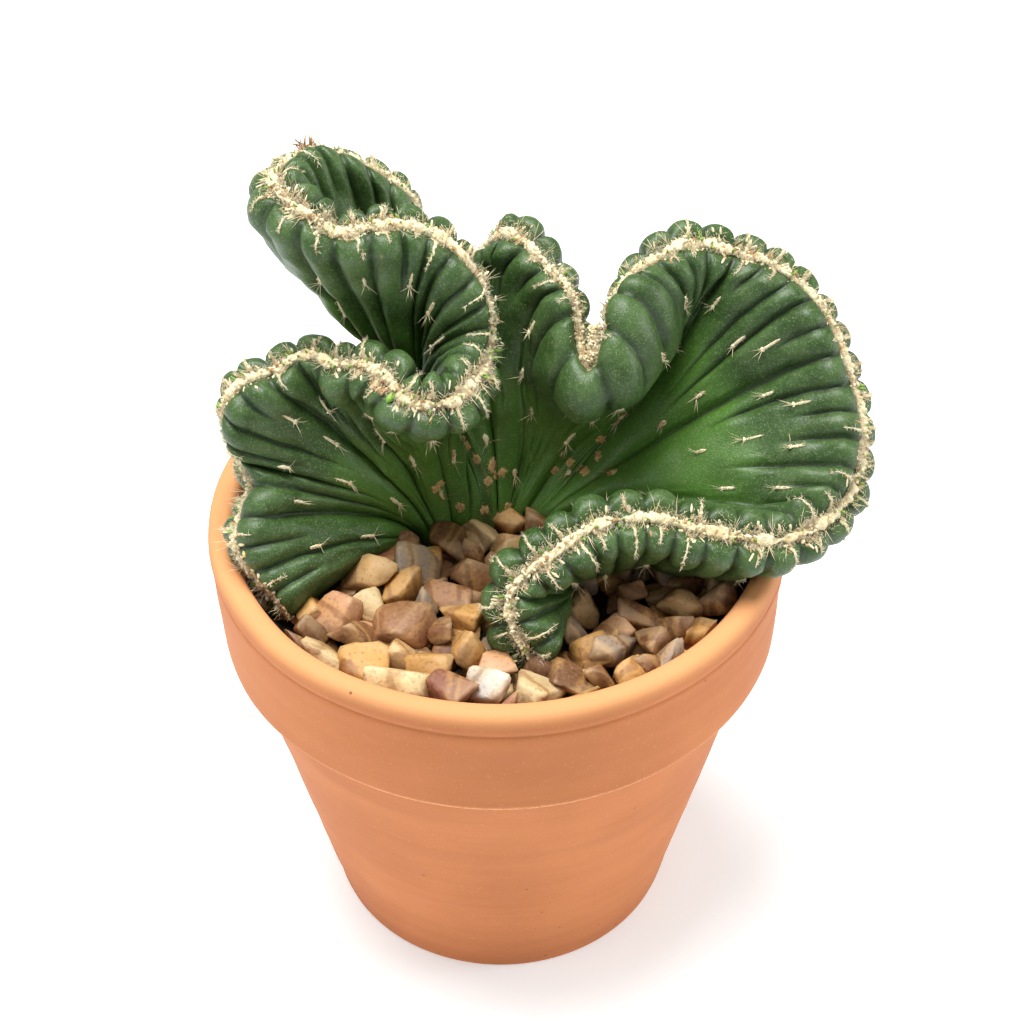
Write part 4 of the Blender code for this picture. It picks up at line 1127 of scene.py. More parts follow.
class Cactus:
    """The plant: its body, the wool along its crest, its areoles, spines and buds.

    What is placed on the crest at one spot is placed by its share of the crest's length.
    """
    TOP_CLUMPS = Clumps((0.22, 0.66), (0.20, 0.50), (0.18, 0.48), 0.15)
    TOP_PER_RIB = 13
    SIDE_CLUMPS = Clumps((0.45, 1.15), (0.16, 0.32), (0.14, 0.28), 0.16, 0.6)
    SIDE_PER_RIB = 12
    FIBRES = 27000
    EVEN_FIBRES = 9000
    STREAK_SHARE = 0.62
    STREAK_STEPS = 9
    STREAK_FIBRES = 7
    STREAK_SIZES = ((0.55, 0.95), (0.30, 0.52), (0.20, 0.36))
    SPRAYS_PER_RIB = 3
    AREOLE_SIZES = ((1.1, 2.4), (0.24, 0.42), (0.16, 0.28))
    AREOLE_FIBRES = 40
    BUDS = 150
    LARGE_BUD_AT = 0.190
    LARGE_BUD_SIZE = (1.15, 0.80, 0.75)
    DRIED_FLOWER = (0.4135, 16, 2.6, 0.9)
    BROWN_SPINE = (0.6955, 1, 4.4, 0.0)
    SCAR_CLUMPS = Clumps((0.30, 0.65), (0.20, 0.38), (0.12, 0.26), 1.0, tone=(0.9, 1.0))
    SCAR_AT = 0.182
    SCAR_COUNT = 40
    COARSE_CLUMPS = Clumps((0.25, 0.75), (0.20, 0.42), (0.20, 0.42), 0.75, tone=(0.25, 0.75))
    COARSE_COUNT = 420
    TRUNK_CLUMPS = Clumps((0.30, 0.70), (0.20, 0.40), (0.08, 0.18), 1.0, 1.0, (1.5, 1.6))
    TRUNK_CLUSTERS = 30
    TRUNK_PER_CLUSTER = 18
    TRUNK_FIBRES = 6
    NOTCH_CLUMPS = Clumps((0.25, 0.60), (0.15, 0.35), (0.15, 0.35), 0.10)
    NOTCH_ENDS = ((18.5, -0.6, 38.0), (19.4, 4.0, 43.0))
    NOTCH_UP = np.array([0.0, -0.6, 1.0])
    NOTCH_COUNT = 320
    NOTCH_FIBRES = 900

    def __init__(self, fan: Fan, finishes: dict[str, bpy.types.Material],
                 box: tuple[np.ndarray, np.ndarray]) -> None:
        """Keeps the sheet and works out its faces.

        Args:
            fan: The sheet.
            finishes: Materials by name: skin, wool, spine and bud.
            box: The lowest and highest corners that the plant keeps inside, round the pot's axis.
        """
        self.fan = fan
        self.finishes = finishes
        self.box = box
        self.sides = fan.faces()
        self.rng = np.random.default_rng(12)
        self.tufts = Tufts(self.rng)
        self.outward = []
        for sign, points in zip((1, -1), self.sides):
            way = np.cross(np.gradient(points, axis=0), np.gradient(points, axis=1))
            flip = np.sign((way * fan.fine_normal).sum(-1).mean() * sign)
            self.outward.append(unit(way) * flip)

    def body(self) -> None:
        """The ribbed body as one closed surface: front, back, its two ends and its foot."""
        fan = self.fan
        front, back = self.sides
        # The crease shade goes to the skin, where it is painted darker as shade
        crease_shade = np.concatenate([fan.crease_shade[:, ::-1], fan.crease_shade[:, 1:]], 1)
        below = np.concatenate([fan.fine_below[:, ::-1], fan.fine_below[:, 1:]], 1) / MM
        points = np.concatenate([back[:, ::-1], front[:, 1:]], 1)
        middle = 0.5 * (front[:, 0] + back[:, 0])
        points[:, fan.fine_below.shape[1] - 1] = middle
        surface = Surface.grid(points, {"crease_shade": crease_shade, "below": below}, wrap=True)
        rows, cols = points.shape[:2]
        index = np.arange(rows * cols).reshape(rows, cols)
        ends = []
        for row in (index[0], index[-1]):
            half = cols // 2
            left, right = row[:half], row[::-1][:half]
            ends.append(np.stack([left[:-1], left[1:], right[1:], right[:-1]], -1))
        surface.faces = np.concatenate([surface.faces, *ends])
        Piece("ribbed_body", surface, self.finishes["skin"], "cactus_skin", "cactus")

    def add(self, name: str, parts: list[Surface], finish: str, slot: str = "crest_wool") -> None:
        """Makes one piece of small parts, none of which leaves the plant's box.

        Args:
            name: The piece's name.
            parts: Its surfaces.
            finish: The name of its material.
            slot: Its material slot.
        """
        surface = Surface.join(parts)
        surface.points = np.clip(surface.points, *self.box)
        Piece(name, surface, self.finishes[finish], slot, turn_out=False)

    def crest_rows(self, columns: np.ndarray) -> tuple[np.ndarray, np.ndarray, np.ndarray, np.ndarray]:
        """The crest at fractions of a column.

        Args:
            columns: Where it is read.
        Returns:
            Its seat, its way up, its way across and its way along.
        """
        fan = self.fan
        keys = np.arange(fan.fine_columns)
        seat = 0.5 * (self.sides[0][:, 1] + self.sides[1][:, 1])
        along = unit(np.gradient(seat, axis=0))
        fields = (seat, fan.fine_up[:, 0], fan.fine_normal[:, 0], along)
        read = [np.stack([np.interp(columns, keys, f[:, k]) for k in range(3)], 1) for f in fields]
        return read[0], unit(read[1]), unit(read[2]), unit(read[3])

    def crest_width(self, columns: np.ndarray) -> np.ndarray:
        """A quarter of the slimmer side's thickness at the crest, at fractions of a column."""
        edge = np.minimum(*[thick[:, 0] for thick in self.fan.fine_thick])
        return np.interp(columns, np.arange(self.fan.fine_columns), 0.25 * edge)

    def sizes(self, spans: tuple[Span, ...], count: int) -> np.ndarray:
        """Random half sizes, within ranges given in millimetres."""
        return np.stack([self.rng.uniform(*span, count) for span in spans], 1) * MM

    def wool_band(self) -> None:
        """The wool's felted core: a slim tube along the crest, whose width and height swell and shrink."""
        fan = self.fan
        sides, last = 16, fan.fine_columns - 1
        at = np.linspace(0, last, 1900)
        seat, up, side, _ = self.crest_rows(at)
        ends = np.interp(at, (0, 12, last - 12, last), (0.3, 1, 1, 0.3))
        width = np.minimum(self.crest_width(at), 0.80 * MM) * ends
        lumps = 1 + 0.42 * ripple(seat, 0.0052, 8, 3)
        turn = np.arange(sides) * 2 * math.pi / sides
        across = np.cos(turn)[None] * (width * lumps)[:, None] * 1.05
        rise = (np.sin(turn)[None] * 0.75 + 0.15) * MM * np.clip(lumps, 0.5, 1.5)[:, None]
        points = seat[:, None] + side[:, None] * across[..., None] + up[:, None] * rise[..., None]
        rough = 0.42 * MM * ripple(points, 0.0014, 21, 3) * (np.sin(turn)[None] > -0.2)
        points = Fan.settle(points + up[:, None] * rough[..., None])
        surface = Surface.grid(points, {"fleck": np.zeros(points.shape[:2])}, wrap=True)
        surface.close((0, (len(at) - 1) * sides), sides)
        Piece("crest_wool_band", surface, self.finishes["wool"], "crest_wool", "crest_wool")

    def on_skin(self, side: np.ndarray, column: np.ndarray, row: np.ndarray,
                stray: float) -> tuple[np.ndarray, ...]:
        """Places on the skin near grid points.

        Args:
            side: 0 for the front or 1 for the back, for each place.
            column: The fine grid's columns.
            row: Its rows, counted from the crest.
            stray: How far the places may wander along the skin, in metres.
        Returns:
            The places, and the ways out of the skin, up towards the crest and along it.
        """
        column = np.clip(column, 1, self.fan.fine_columns - 2).astype(int)
        row = np.clip(row, 1, self.fan.fine_below.shape[1] - 3)
        first = row.astype(int)
        part = (row - first)[:, None]
        points, outward = np.stack(self.sides), np.stack(self.outward)
        seat = points[side, column, first] * (1 - part) + points[side, column, first + 1] * part
        out = unit(outward[side, column, first] * (1 - part) + outward[side, column, first + 1] * part)
        up = unit(points[side, column, first - 1] - points[side, column, first + 1])
        along = np.cross(up, out)
        wander = self.rng.uniform(-stray, stray, (len(seat), 2))
        return seat + up * wander[:, :1] + along * wander[:, 1:], out, up, along

    def tuft_pads(self, place: tuple[np.ndarray, ...], sort: Clumps) -> Surface:
        """Clumps of wool on the skin.

        Args:
            place: What on_skin returned.
            sort: What they are like.
        Returns:
            The clumps.
        """
        seat, out, up, along = place
        count, rng = len(seat), self.rng
        turn = rng.uniform(-sort.twist, sort.twist, count)[:, None]
        way = unit(up * np.cos(turn) + along * np.sin(turn))
        sizes = self.sizes((sort.length, sort.width, sort.height), count)
        fleck = (rng.random(count) < sort.brown) * rng.uniform(*sort.tone, count)
        return self.tufts.pads(Fan.settle(seat), lay(way, out), out, sizes, fleck)

    def gathered(self, share: np.ndarray, count: int) -> np.ndarray:
        """Columns near the middles of the ribs, more on some ribs than on others.

        Args:
            share: Each rib's share of them.
            count: How many there are.
        Returns:
            The columns.
        """
        fan, rng = self.fan, self.rng
        rib = rng.choice(fan.ribs, count, p=share)
        column = (rib + 0.5) * fan.fine_per_rib + rng.normal(0, 2.8, count)
        return np.clip(column, 1, fan.fine_columns - 2)

    def crest_fleece(self) -> None:
        """Small clumps of wool over the crest's edge, and the fine fibres that stand out of them."""
        fan, rng = self.fan, self.rng
        share = rng.gamma(2.6, 1.0, fan.ribs)
        share = share / share.sum()
        last = fan.fine_columns - 2
        count = fan.ribs * self.TOP_PER_RIB
        at = np.concatenate([self.gathered(share, count // 2), rng.uniform(1, last, count - count // 2)])
        seat, up, side, _ = self.crest_rows(at)
        lean = rng.normal(0, 0.5, count)
        out = unit(up + side * lean[:, None] * 0.9)
        rib_top = 1 + 0.35 * np.cos(at / fan.fine_per_rib * 2 * math.pi)
        seat = seat + side * (lean * 1.25 * MM)[:, None] + up * ((1.05 - 0.55 * np.abs(lean)) * MM)[:, None]
        seat = seat + up * (rng.uniform(-0.3, 0.3, count) * rib_top * MM)[:, None]
        top = self.tuft_pads((seat, out, side, np.cross(side, out)), self.TOP_CLUMPS)
        count = fan.ribs * self.SIDE_PER_RIB
        face, column = rng.integers(0, 2, count), self.gathered(share, count)
        row = np.minimum(1.0 + np.abs(rng.normal(0, 1.7, count)), 5.5)
        below = self.tuft_pads(self.on_skin(face, column, row, 0.3 * MM), self.SIDE_CLUMPS)
        count, even = self.FIBRES, self.EVEN_FIBRES
        row = np.minimum(1 + np.abs(rng.normal(0, 1.5, count)), 6)
        column = np.concatenate([self.gathered(share, count - even), rng.uniform(1, last, even)])
        seat, out, up, _ = self.on_skin(rng.integers(0, 2, count), column, row, 0.5 * MM)
        ways = unit(out * 0.8 + up * 0.5 + rng.normal(size=(count, 3)) * 0.55)
        lengths = rng.uniform(0.6, 1.9, count) * MM
        radii = rng.uniform(0.04, 0.07, count) * MM
        fleck = (rng.random(count) < 0.12) * 0.9
        held = self.keep_in(seat + (out + up) * 0.3 * MM, ways, lengths)
        self.add("crest_fleece", [top, below, self.tufts.cones(*held, radii, fleck, 0.4, SLIM)], "wool")

    def crest_streaks(self) -> None:
        """The wool's streaks: on many ribs it runs some millimetres down from the crest and thins out."""
        fan, rng = self.fan, self.rng
        ribs = np.repeat(np.arange(fan.ribs), 2)
        sides = np.tile([0, 1], fan.ribs)
        chosen = rng.random(len(ribs)) < self.STREAK_SHARE
        ribs, sides = ribs[chosen], sides[chosen]
        reach = rng.uniform(4.5, 10.0, len(ribs))
        column = ribs * fan.fine_per_rib + rng.uniform(3.0, 7.0, len(ribs))
        lean = rng.uniform(-1.5, 1.5, len(ribs))
        steps = self.STREAK_STEPS
        t = np.tile(np.linspace(0, 1, steps), len(ribs))
        row = 2 + t * (np.repeat(reach, steps) - 2)
        column = np.repeat(column, steps) + t * np.repeat(lean, steps)
        place = self.on_skin(np.repeat(sides, steps), column, row, 0.14 * MM)
        seat, out, up, along = place
        taper = (1 - 0.75 * t)[:, None]
        sizes = self.sizes(self.STREAK_SIZES, len(t)) * np.hstack([np.ones_like(taper), taper, taper])
        fleck = (rng.random(len(t)) < 0.10) * rng.uniform(0.5, 1.0, len(t))
        pads = self.tufts.pads(Fan.settle(seat), lay(up, out), out, sizes, fleck)
        seat, out, up, along = (np.repeat(part, self.STREAK_FIBRES, 0) for part in place)
        count = len(seat)
        ways = unit(out * 0.5 - up * 0.45 + rng.normal(size=(count, 3)) * 0.5)
        roots = seat + along * rng.normal(0, 0.18, count)[:, None] * MM + out * 0.1 * MM
        lengths = rng.uniform(0.4, 1.3, count) * MM
        fibres = self.tufts.cones(roots, ways, lengths, np.full(count, 0.05 * MM), np.zeros(count), 0.5)
        self.add("crest_streaks", [pads, fibres], "wool")

    def keep_in(self, roots: np.ndarray, ways: np.ndarray,
                lengths: np.ndarray) -> tuple[np.ndarray, ...]:
        """Shortens what would leave the plant's box.

        Args:
            roots: Where needles start.
            ways: Their directions.
            lengths: Their lengths.
        Returns:
            The roots and ways as they are, and the lengths that fit.
        """
        low, high = self.box
        with np.errstate(divide="ignore"):
            reach = np.where(ways > 0, (high - roots) / ways, (low - roots) / ways)
        reach = np.where(np.abs(ways) < 1e-9, 1.0, reach).min(1)
        return roots, ways, np.minimum(lengths, np.maximum(reach, 0.1 * MM))

    def crest_spines(self) -> Surface:
        """The spines that stand out of the crest's wool to both sides, in little sprays.

        Returns:
            The spines.
        """
        fan, rng = self.fan, self.rng
        sprays = fan.ribs * self.SPRAYS_PER_RIB
        spray_at = np.linspace(3, fan.fine_columns - 4, sprays) + rng.uniform(-2, 2, sprays)
        spray_lean = np.where(np.arange(sprays) % 2, 1, -1) * np.radians(rng.uniform(15, 65, sprays))
        per = rng.integers(2, 6, sprays)
        at = np.repeat(spray_at, per)
        count = len(at)
        lean = np.repeat(spray_lean, per) + np.radians(rng.normal(0, 22, count))
        seat, up, side, along = self.crest_rows(at)
        out = np.sin(lean) * np.minimum(self.crest_width(at), 1.6 * MM)
        roots = seat + up * 1.1 * MM + side * out[:, None]
        ways = unit(up * np.cos(lean)[:, None] + side * np.sin(lean)[:, None]
                    + along * rng.normal(0, 0.35, count)[:, None])
        lengths = rng.uniform(1.4, 4.6, count) * MM
        brown = rng.random(count) < 0.12
        fleck = np.where(brown, rng.uniform(0.6, 1.0, count), rng.uniform(0, 0.4, count))
        radii = rng.uniform(0.05, 0.095, count) * MM
        return self.tufts.cones(*self.keep_in(roots, ways, lengths), radii, fleck)

    def areole_places(self) -> tuple[np.ndarray, ...]:
        """The areoles of both faces, spaced down each rib and kept apart from each other.

        Returns:
            Their places, their ways along and out, and their depths under the crest.
        """
        fan, rng = self.fan, self.rng
        lowest, first_row = RIM_TOP + 1.5 * MM, 11
        found = []
        for points, outward in zip(self.sides, self.outward):
            for rib in range(fan.ribs):
                column = rib * fan.fine_per_rib + int(rng.integers(2, 9))
                depth = rng.uniform(6.0, 13.0) * MM
                while depth < 0.80 * fan.fine_below[column, -1]:
                    row = int(np.argmin(np.abs(fan.fine_below[column] - depth)))
                    seat = points[column, row]
                    gap = min((np.linalg.norm(seat - other[0]) for other in found), default=1.0)
                    apart = (6.6 if depth < 14 * MM else 8.6) * MM
                    if gap > apart and seat[2] > lowest and row > first_row:
                        below = points[column, min(row + 1, points.shape[1] - 1)]
                        way = unit(points[column, row - 1] - below)
                        found.append((seat, way, outward[column, row], depth))
                    depth += rng.uniform(8.0, 13.0) * MM
        return tuple(np.array([areole[k] for areole in found]) for k in range(4))

    def dress(self) -> None:
        """The areoles' wool pads and fibres, and all the spines. Old areoles, low down, are browner."""
        rng = self.rng
        seats, along, out, depth = self.areole_places()
        along = lay(along, out)
        count = len(seats)
        old = np.clip((depth - 26 * MM) / (30 * MM), 0, 1)
        grown = np.stack([1 - 0.40 * old, 1 + old, 1 + old], 1)
        sizes = self.sizes(self.AREOLE_SIZES, count) * grown
        fleck = np.clip(old * rng.uniform(0.2, 1.0, count), 0, 1)
        across = np.cross(along, out)
        low = seats - along * sizes[:, :1] * 0.75
        pads = self.tufts.pads(seats, along, out, sizes, fleck)
        knot_sizes = sizes * np.array([0.26, 1.3, 1.2])
        knots = self.tufts.pads(low + out * 0.1 * MM, across, out, knot_sizes, fleck)
        per = self.AREOLE_FIBRES
        total = count * per
        place = rng.uniform(-1, 1, total)[:, None]
        roots = np.repeat(seats + out * 0.12 * MM, per, 0) + np.repeat(along * sizes[:, :1], per, 0) * place
        ways = unit(np.repeat(out, per, 0) * 0.5 - np.repeat(along, per, 0) * 0.35
                    + rng.normal(size=(total, 3)) * 0.5)
        lengths = rng.uniform(0.35, 1.0, total) * MM
        radii = np.full(total, 0.045 * MM)
        fibres = self.tufts.cones(roots, ways, lengths, radii, np.repeat(fleck, per), 0.5)
        self.add("areole_wool", [pads, knots, fibres], "wool")
        per = rng.integers(3, 8, count)
        total = per.sum()
        ways = unit(np.repeat(out, per, 0) * rng.uniform(0.25, 0.9, total)[:, None]
                    + np.repeat(along, per, 0) * rng.uniform(-1.2, 0.25, total)[:, None]
                    + np.repeat(across, per, 0) * rng.uniform(-0.8, 0.8, total)[:, None])
        roots = np.repeat(low + out * 0.15 * MM, per, 0)
        held = self.keep_in(roots, ways, rng.uniform(1.2, 4.2, total) * MM)
        radii = rng.uniform(0.045, 0.085, total) * MM
        fleck = np.clip(np.repeat(old, per) + rng.uniform(-0.3, 0.3, total), 0, 1)
        spines = self.tufts.cones(*held, radii, fleck)
        self.add("spines", [self.crest_spines(), spines], "spine")

    def buds(self) -> None:
        """Small fresh buds in the crest's wool, and one larger one on the left fold."""
        rng, count, last = self.rng, self.BUDS, self.fan.fine_columns - 1
        seat, up, side, _ = self.crest_rows(rng.uniform(4, last - 4, count))
        lean = rng.uniform(-1, 1, count)
        roots = seat + side * (lean * 1.3 * MM)[:, None] + up * 0.9 * MM
        ways = unit(up + side * lean[:, None] * 0.9)
        held = self.keep_in(roots, ways, rng.uniform(0.9, 1.7, count) * MM)
        small = self.tufts.cones(*held, rng.uniform(0.25, 0.42, count) * MM, np.zeros(count), 0.3)
        column = np.array([self.LARGE_BUD_AT * last])
        seat, out, up, _ = self.on_skin(np.zeros(1, int), column, np.array([2.6]), 0.0)
        size = np.array([self.LARGE_BUD_SIZE]) * MM
        large = self.tufts.pads(seat + out * 0.5 * MM, up, out, size, np.zeros(1))
        self.add("crest_buds", [small, large], "bud", "cactus_skin")

    def dried_bits(self) -> None:
        """What has dried: a flower on the highest lobe, a brown spine, a scar, and coarse wool."""
        rng, last = self.rng, self.fan.fine_columns - 1
        parts = []
        for share, count, length, spread in (self.DRIED_FLOWER, self.BROWN_SPINE):
            seat, up, _, _ = self.crest_rows(share * last + rng.uniform(-3, 3, count))
            ways = unit(up + rng.normal(size=(count, 3)) * 0.6 * spread)
            roots = seat + up * 1.0 * MM + rng.normal(size=(count, 3)) * 0.5 * spread * MM
            held = self.keep_in(roots, ways, np.full(count, length * MM))
            parts.append(self.tufts.cones(*held, rng.uniform(0.16, 0.34, count) * MM, np.ones(count), 0.5))
        count = self.SCAR_COUNT
        column, row = self.SCAR_AT * last + rng.uniform(-5, 5, count), rng.uniform(1.5, 4.5, count)
        place = self.on_skin(np.zeros(count, int), column, row, 0.3 * MM)
        parts.append(self.tuft_pads(place, self.SCAR_CLUMPS))
        self.add("dried_scraps", parts, "spine")
        count = self.COARSE_COUNT
        column, row = rng.uniform(1, 36, count), 1 + np.abs(rng.normal(0, 1.5, count))
        place = self.on_skin(np.zeros(count, int), column, row, 0.4 * MM)
        coarse = self.tuft_pads(place, self.COARSE_CLUMPS)
        self.add("coarse_wool", [coarse, self.trunk_wool(), self.notch_wool()], "wool")

    def trunk_wool(self) -> Surface:
        """Worn tan tufts low on the trunk, where old areoles have dried: clusters of small clumps.

        Returns:
            The clumps and their fibres.
        """
        fan, rng = self.fan, self.rng
        clusters, per = self.TRUNK_CLUSTERS, self.TRUNK_PER_CLUSTER
        column = np.repeat(rng.uniform(0.20, 0.72, clusters) * fan.fine_columns, per)
        row = np.repeat(rng.uniform(0.66, 0.93, clusters) * fan.fine_below.shape[1], per)
        side = np.repeat((rng.random(clusters) < 0.25).astype(int), per)
        place = self.on_skin(side, column, row, 0.7 * MM)
        pads = self.tuft_pads(place, self.TRUNK_CLUMPS)
        seat, out, up, along = (np.repeat(part, self.TRUNK_FIBRES, 0) for part in place)
        total = len(seat)
        ways = unit(out * 0.6 + rng.normal(size=(total, 3)) * 0.6)
        shift = up * rng.normal(0, 0.35, (total, 1)) + along * rng.normal(0, 0.35, (total, 1))
        lengths = rng.uniform(0.3, 0.8, total) * MM
        fleck = rng.uniform(*self.TRUNK_CLUMPS.tone, total)
        radii = np.full(total, 0.05 * MM)
        fibres = self.tufts.cones(seat + shift * MM, ways, lengths, radii, fleck, 0.4, SLIM)
        return Surface.join([pads, fibres])

    def notch_wool(self) -> Surface:
        """The wool that bridges the narrow gap where the crest turns back on itself.

        Returns:
            The clumps and their fibres.
        """
        rng, count = self.rng, self.NOTCH_COUNT
        low, high = to_world(self.NOTCH_ENDS)
        seat = low + (high - low) * rng.random(count)[:, None] + rng.normal(0, 0.50, (count, 3)) * MM
        out = unit(self.NOTCH_UP + rng.normal(0, 0.4, (count, 3)))
        up = unit(np.cross(out, rng.normal(size=(count, 3))))
        pads = self.tuft_pads((seat, out, up, np.cross(up, out)), self.NOTCH_CLUMPS)
        count = self.NOTCH_FIBRES
        roots = low + (high - low) * rng.random(count)[:, None] + rng.normal(0, 0.6, (count, 3)) * MM
        ways = unit(self.NOTCH_UP + rng.normal(0, 0.7, (count, 3)))
        lengths = rng.uniform(0.5, 1.4, count) * MM
        radii = np.full(count, 0.05 * MM)
        fibres = self.tufts.cones(roots, ways, lengths, radii, np.zeros(count), 0.4, SLIM)
        return Surface.join([pads, fibres])



@dataclass
class Pot:
    """The clay pot, turned from one profile."""
    lip_radius: float = 60.0 * MM
    band_bottom: float = 78.0 * MM
    band_radius: float = 58.9 * MM
    body_top: float = 55.1 * MM
    foot_radius: float = 38.9 * MM
    floor: float = 7.0 * MM
    floor_radius: float = 33.0 * MM
    drain_radius: float = 6.0 * MM
    sides: int = 192

    def profile(self) -> np.ndarray:
        """The section, from the drain hole outwards, up, over the lip and down inside.

        Returns:
            Radius and height, point by point.
        """
        def line(start: tuple[float, float, int], end: tuple[float, float, int]) -> np.ndarray:
            """Points on the straight piece between two corners, as many as start says, without its end."""
            t = np.arange(start[2])[:, None] / start[2]
            return np.array(start[:2]) * (1 - t) + np.array(end[:2]) * t

        lip_centre, lip_half = (self.lip_radius + MOUTH_RADIUS) / 2, (self.lip_radius - MOUTH_RADIUS) / 2
        turn = np.linspace(0, math.pi, 23)
        lip = np.stack([lip_centre + lip_half * np.sign(np.cos(turn)) * np.abs(np.cos(turn)) ** 0.72,
                        RIM_TOP - 3.4 * MM * (1 - np.sin(turn) ** 0.72)], 1)
        foot, low, band = self.foot_radius, self.band_bottom, self.band_radius
        body, edge = self.body_top, self.lip_radius
        outside = [
            (self.drain_radius, 0.0, 6), (foot - 1.6 * MM, 0.0, 3), (foot - 0.3 * MM, 0.6 * MM, 3),
            (foot + 0.1 * MM, 2.0 * MM, 40), (body, low - 1.6 * MM, 3), (body + 0.9 * MM, low - 0.7 * MM, 4),
            (band - 0.5 * MM, low + 0.1 * MM, 3), (band, low + 0.9 * MM, 20),
            (edge - 0.15 * MM, RIM_TOP - 5.6 * MM, 3), (edge - 0.4 * MM, RIM_TOP - 4.9 * MM, 3),
            (edge, RIM_TOP - 4.0 * MM, 0)]
        inside = [
            (MOUTH_RADIUS, RIM_TOP - 4.2 * MM, 30), (self.floor_radius, self.floor, 8),
            (self.drain_radius, self.floor, 4), (self.drain_radius, 0.0, 0)]
        before = [line(*ends) for ends in itertools.pairwise(outside)]
        after = [line(*ends) for ends in itertools.pairwise(inside)]
        return np.concatenate([*before, lip, *after])

    def build(self, material: bpy.types.Material) -> None:
        """Turns the profile round the upright axis, with the faint unevenness of thrown clay.

        Args:
            material: The clay.
        """
        section = self.profile()
        turn = np.arange(self.sides) * 2 * math.pi / self.sides
        radius = section[:, 0][:, None] * np.ones(self.sides)
        height = section[:, 1][:, None] * np.ones(self.sides)
        points = np.stack([radius * np.cos(turn), radius * np.sin(turn), height], -1)
        wave = 0.10 * MM * (ripple(points * np.array([1, 1, 3.0]), 0.05, 31, 2) - 1)
        on_wall = (section[:, 1] > 3 * MM)[:, None]
        points[..., :2] *= (1 + np.where(on_wall, wave, 0.0) / np.maximum(radius, 1e-6))[..., None]
        closed = np.concatenate([points, points[:1]])
        surface = Surface.grid(closed, {}, wrap=True)
        Piece("clay_pot", surface, material, "terracotta", "pot", merge=1e-6)


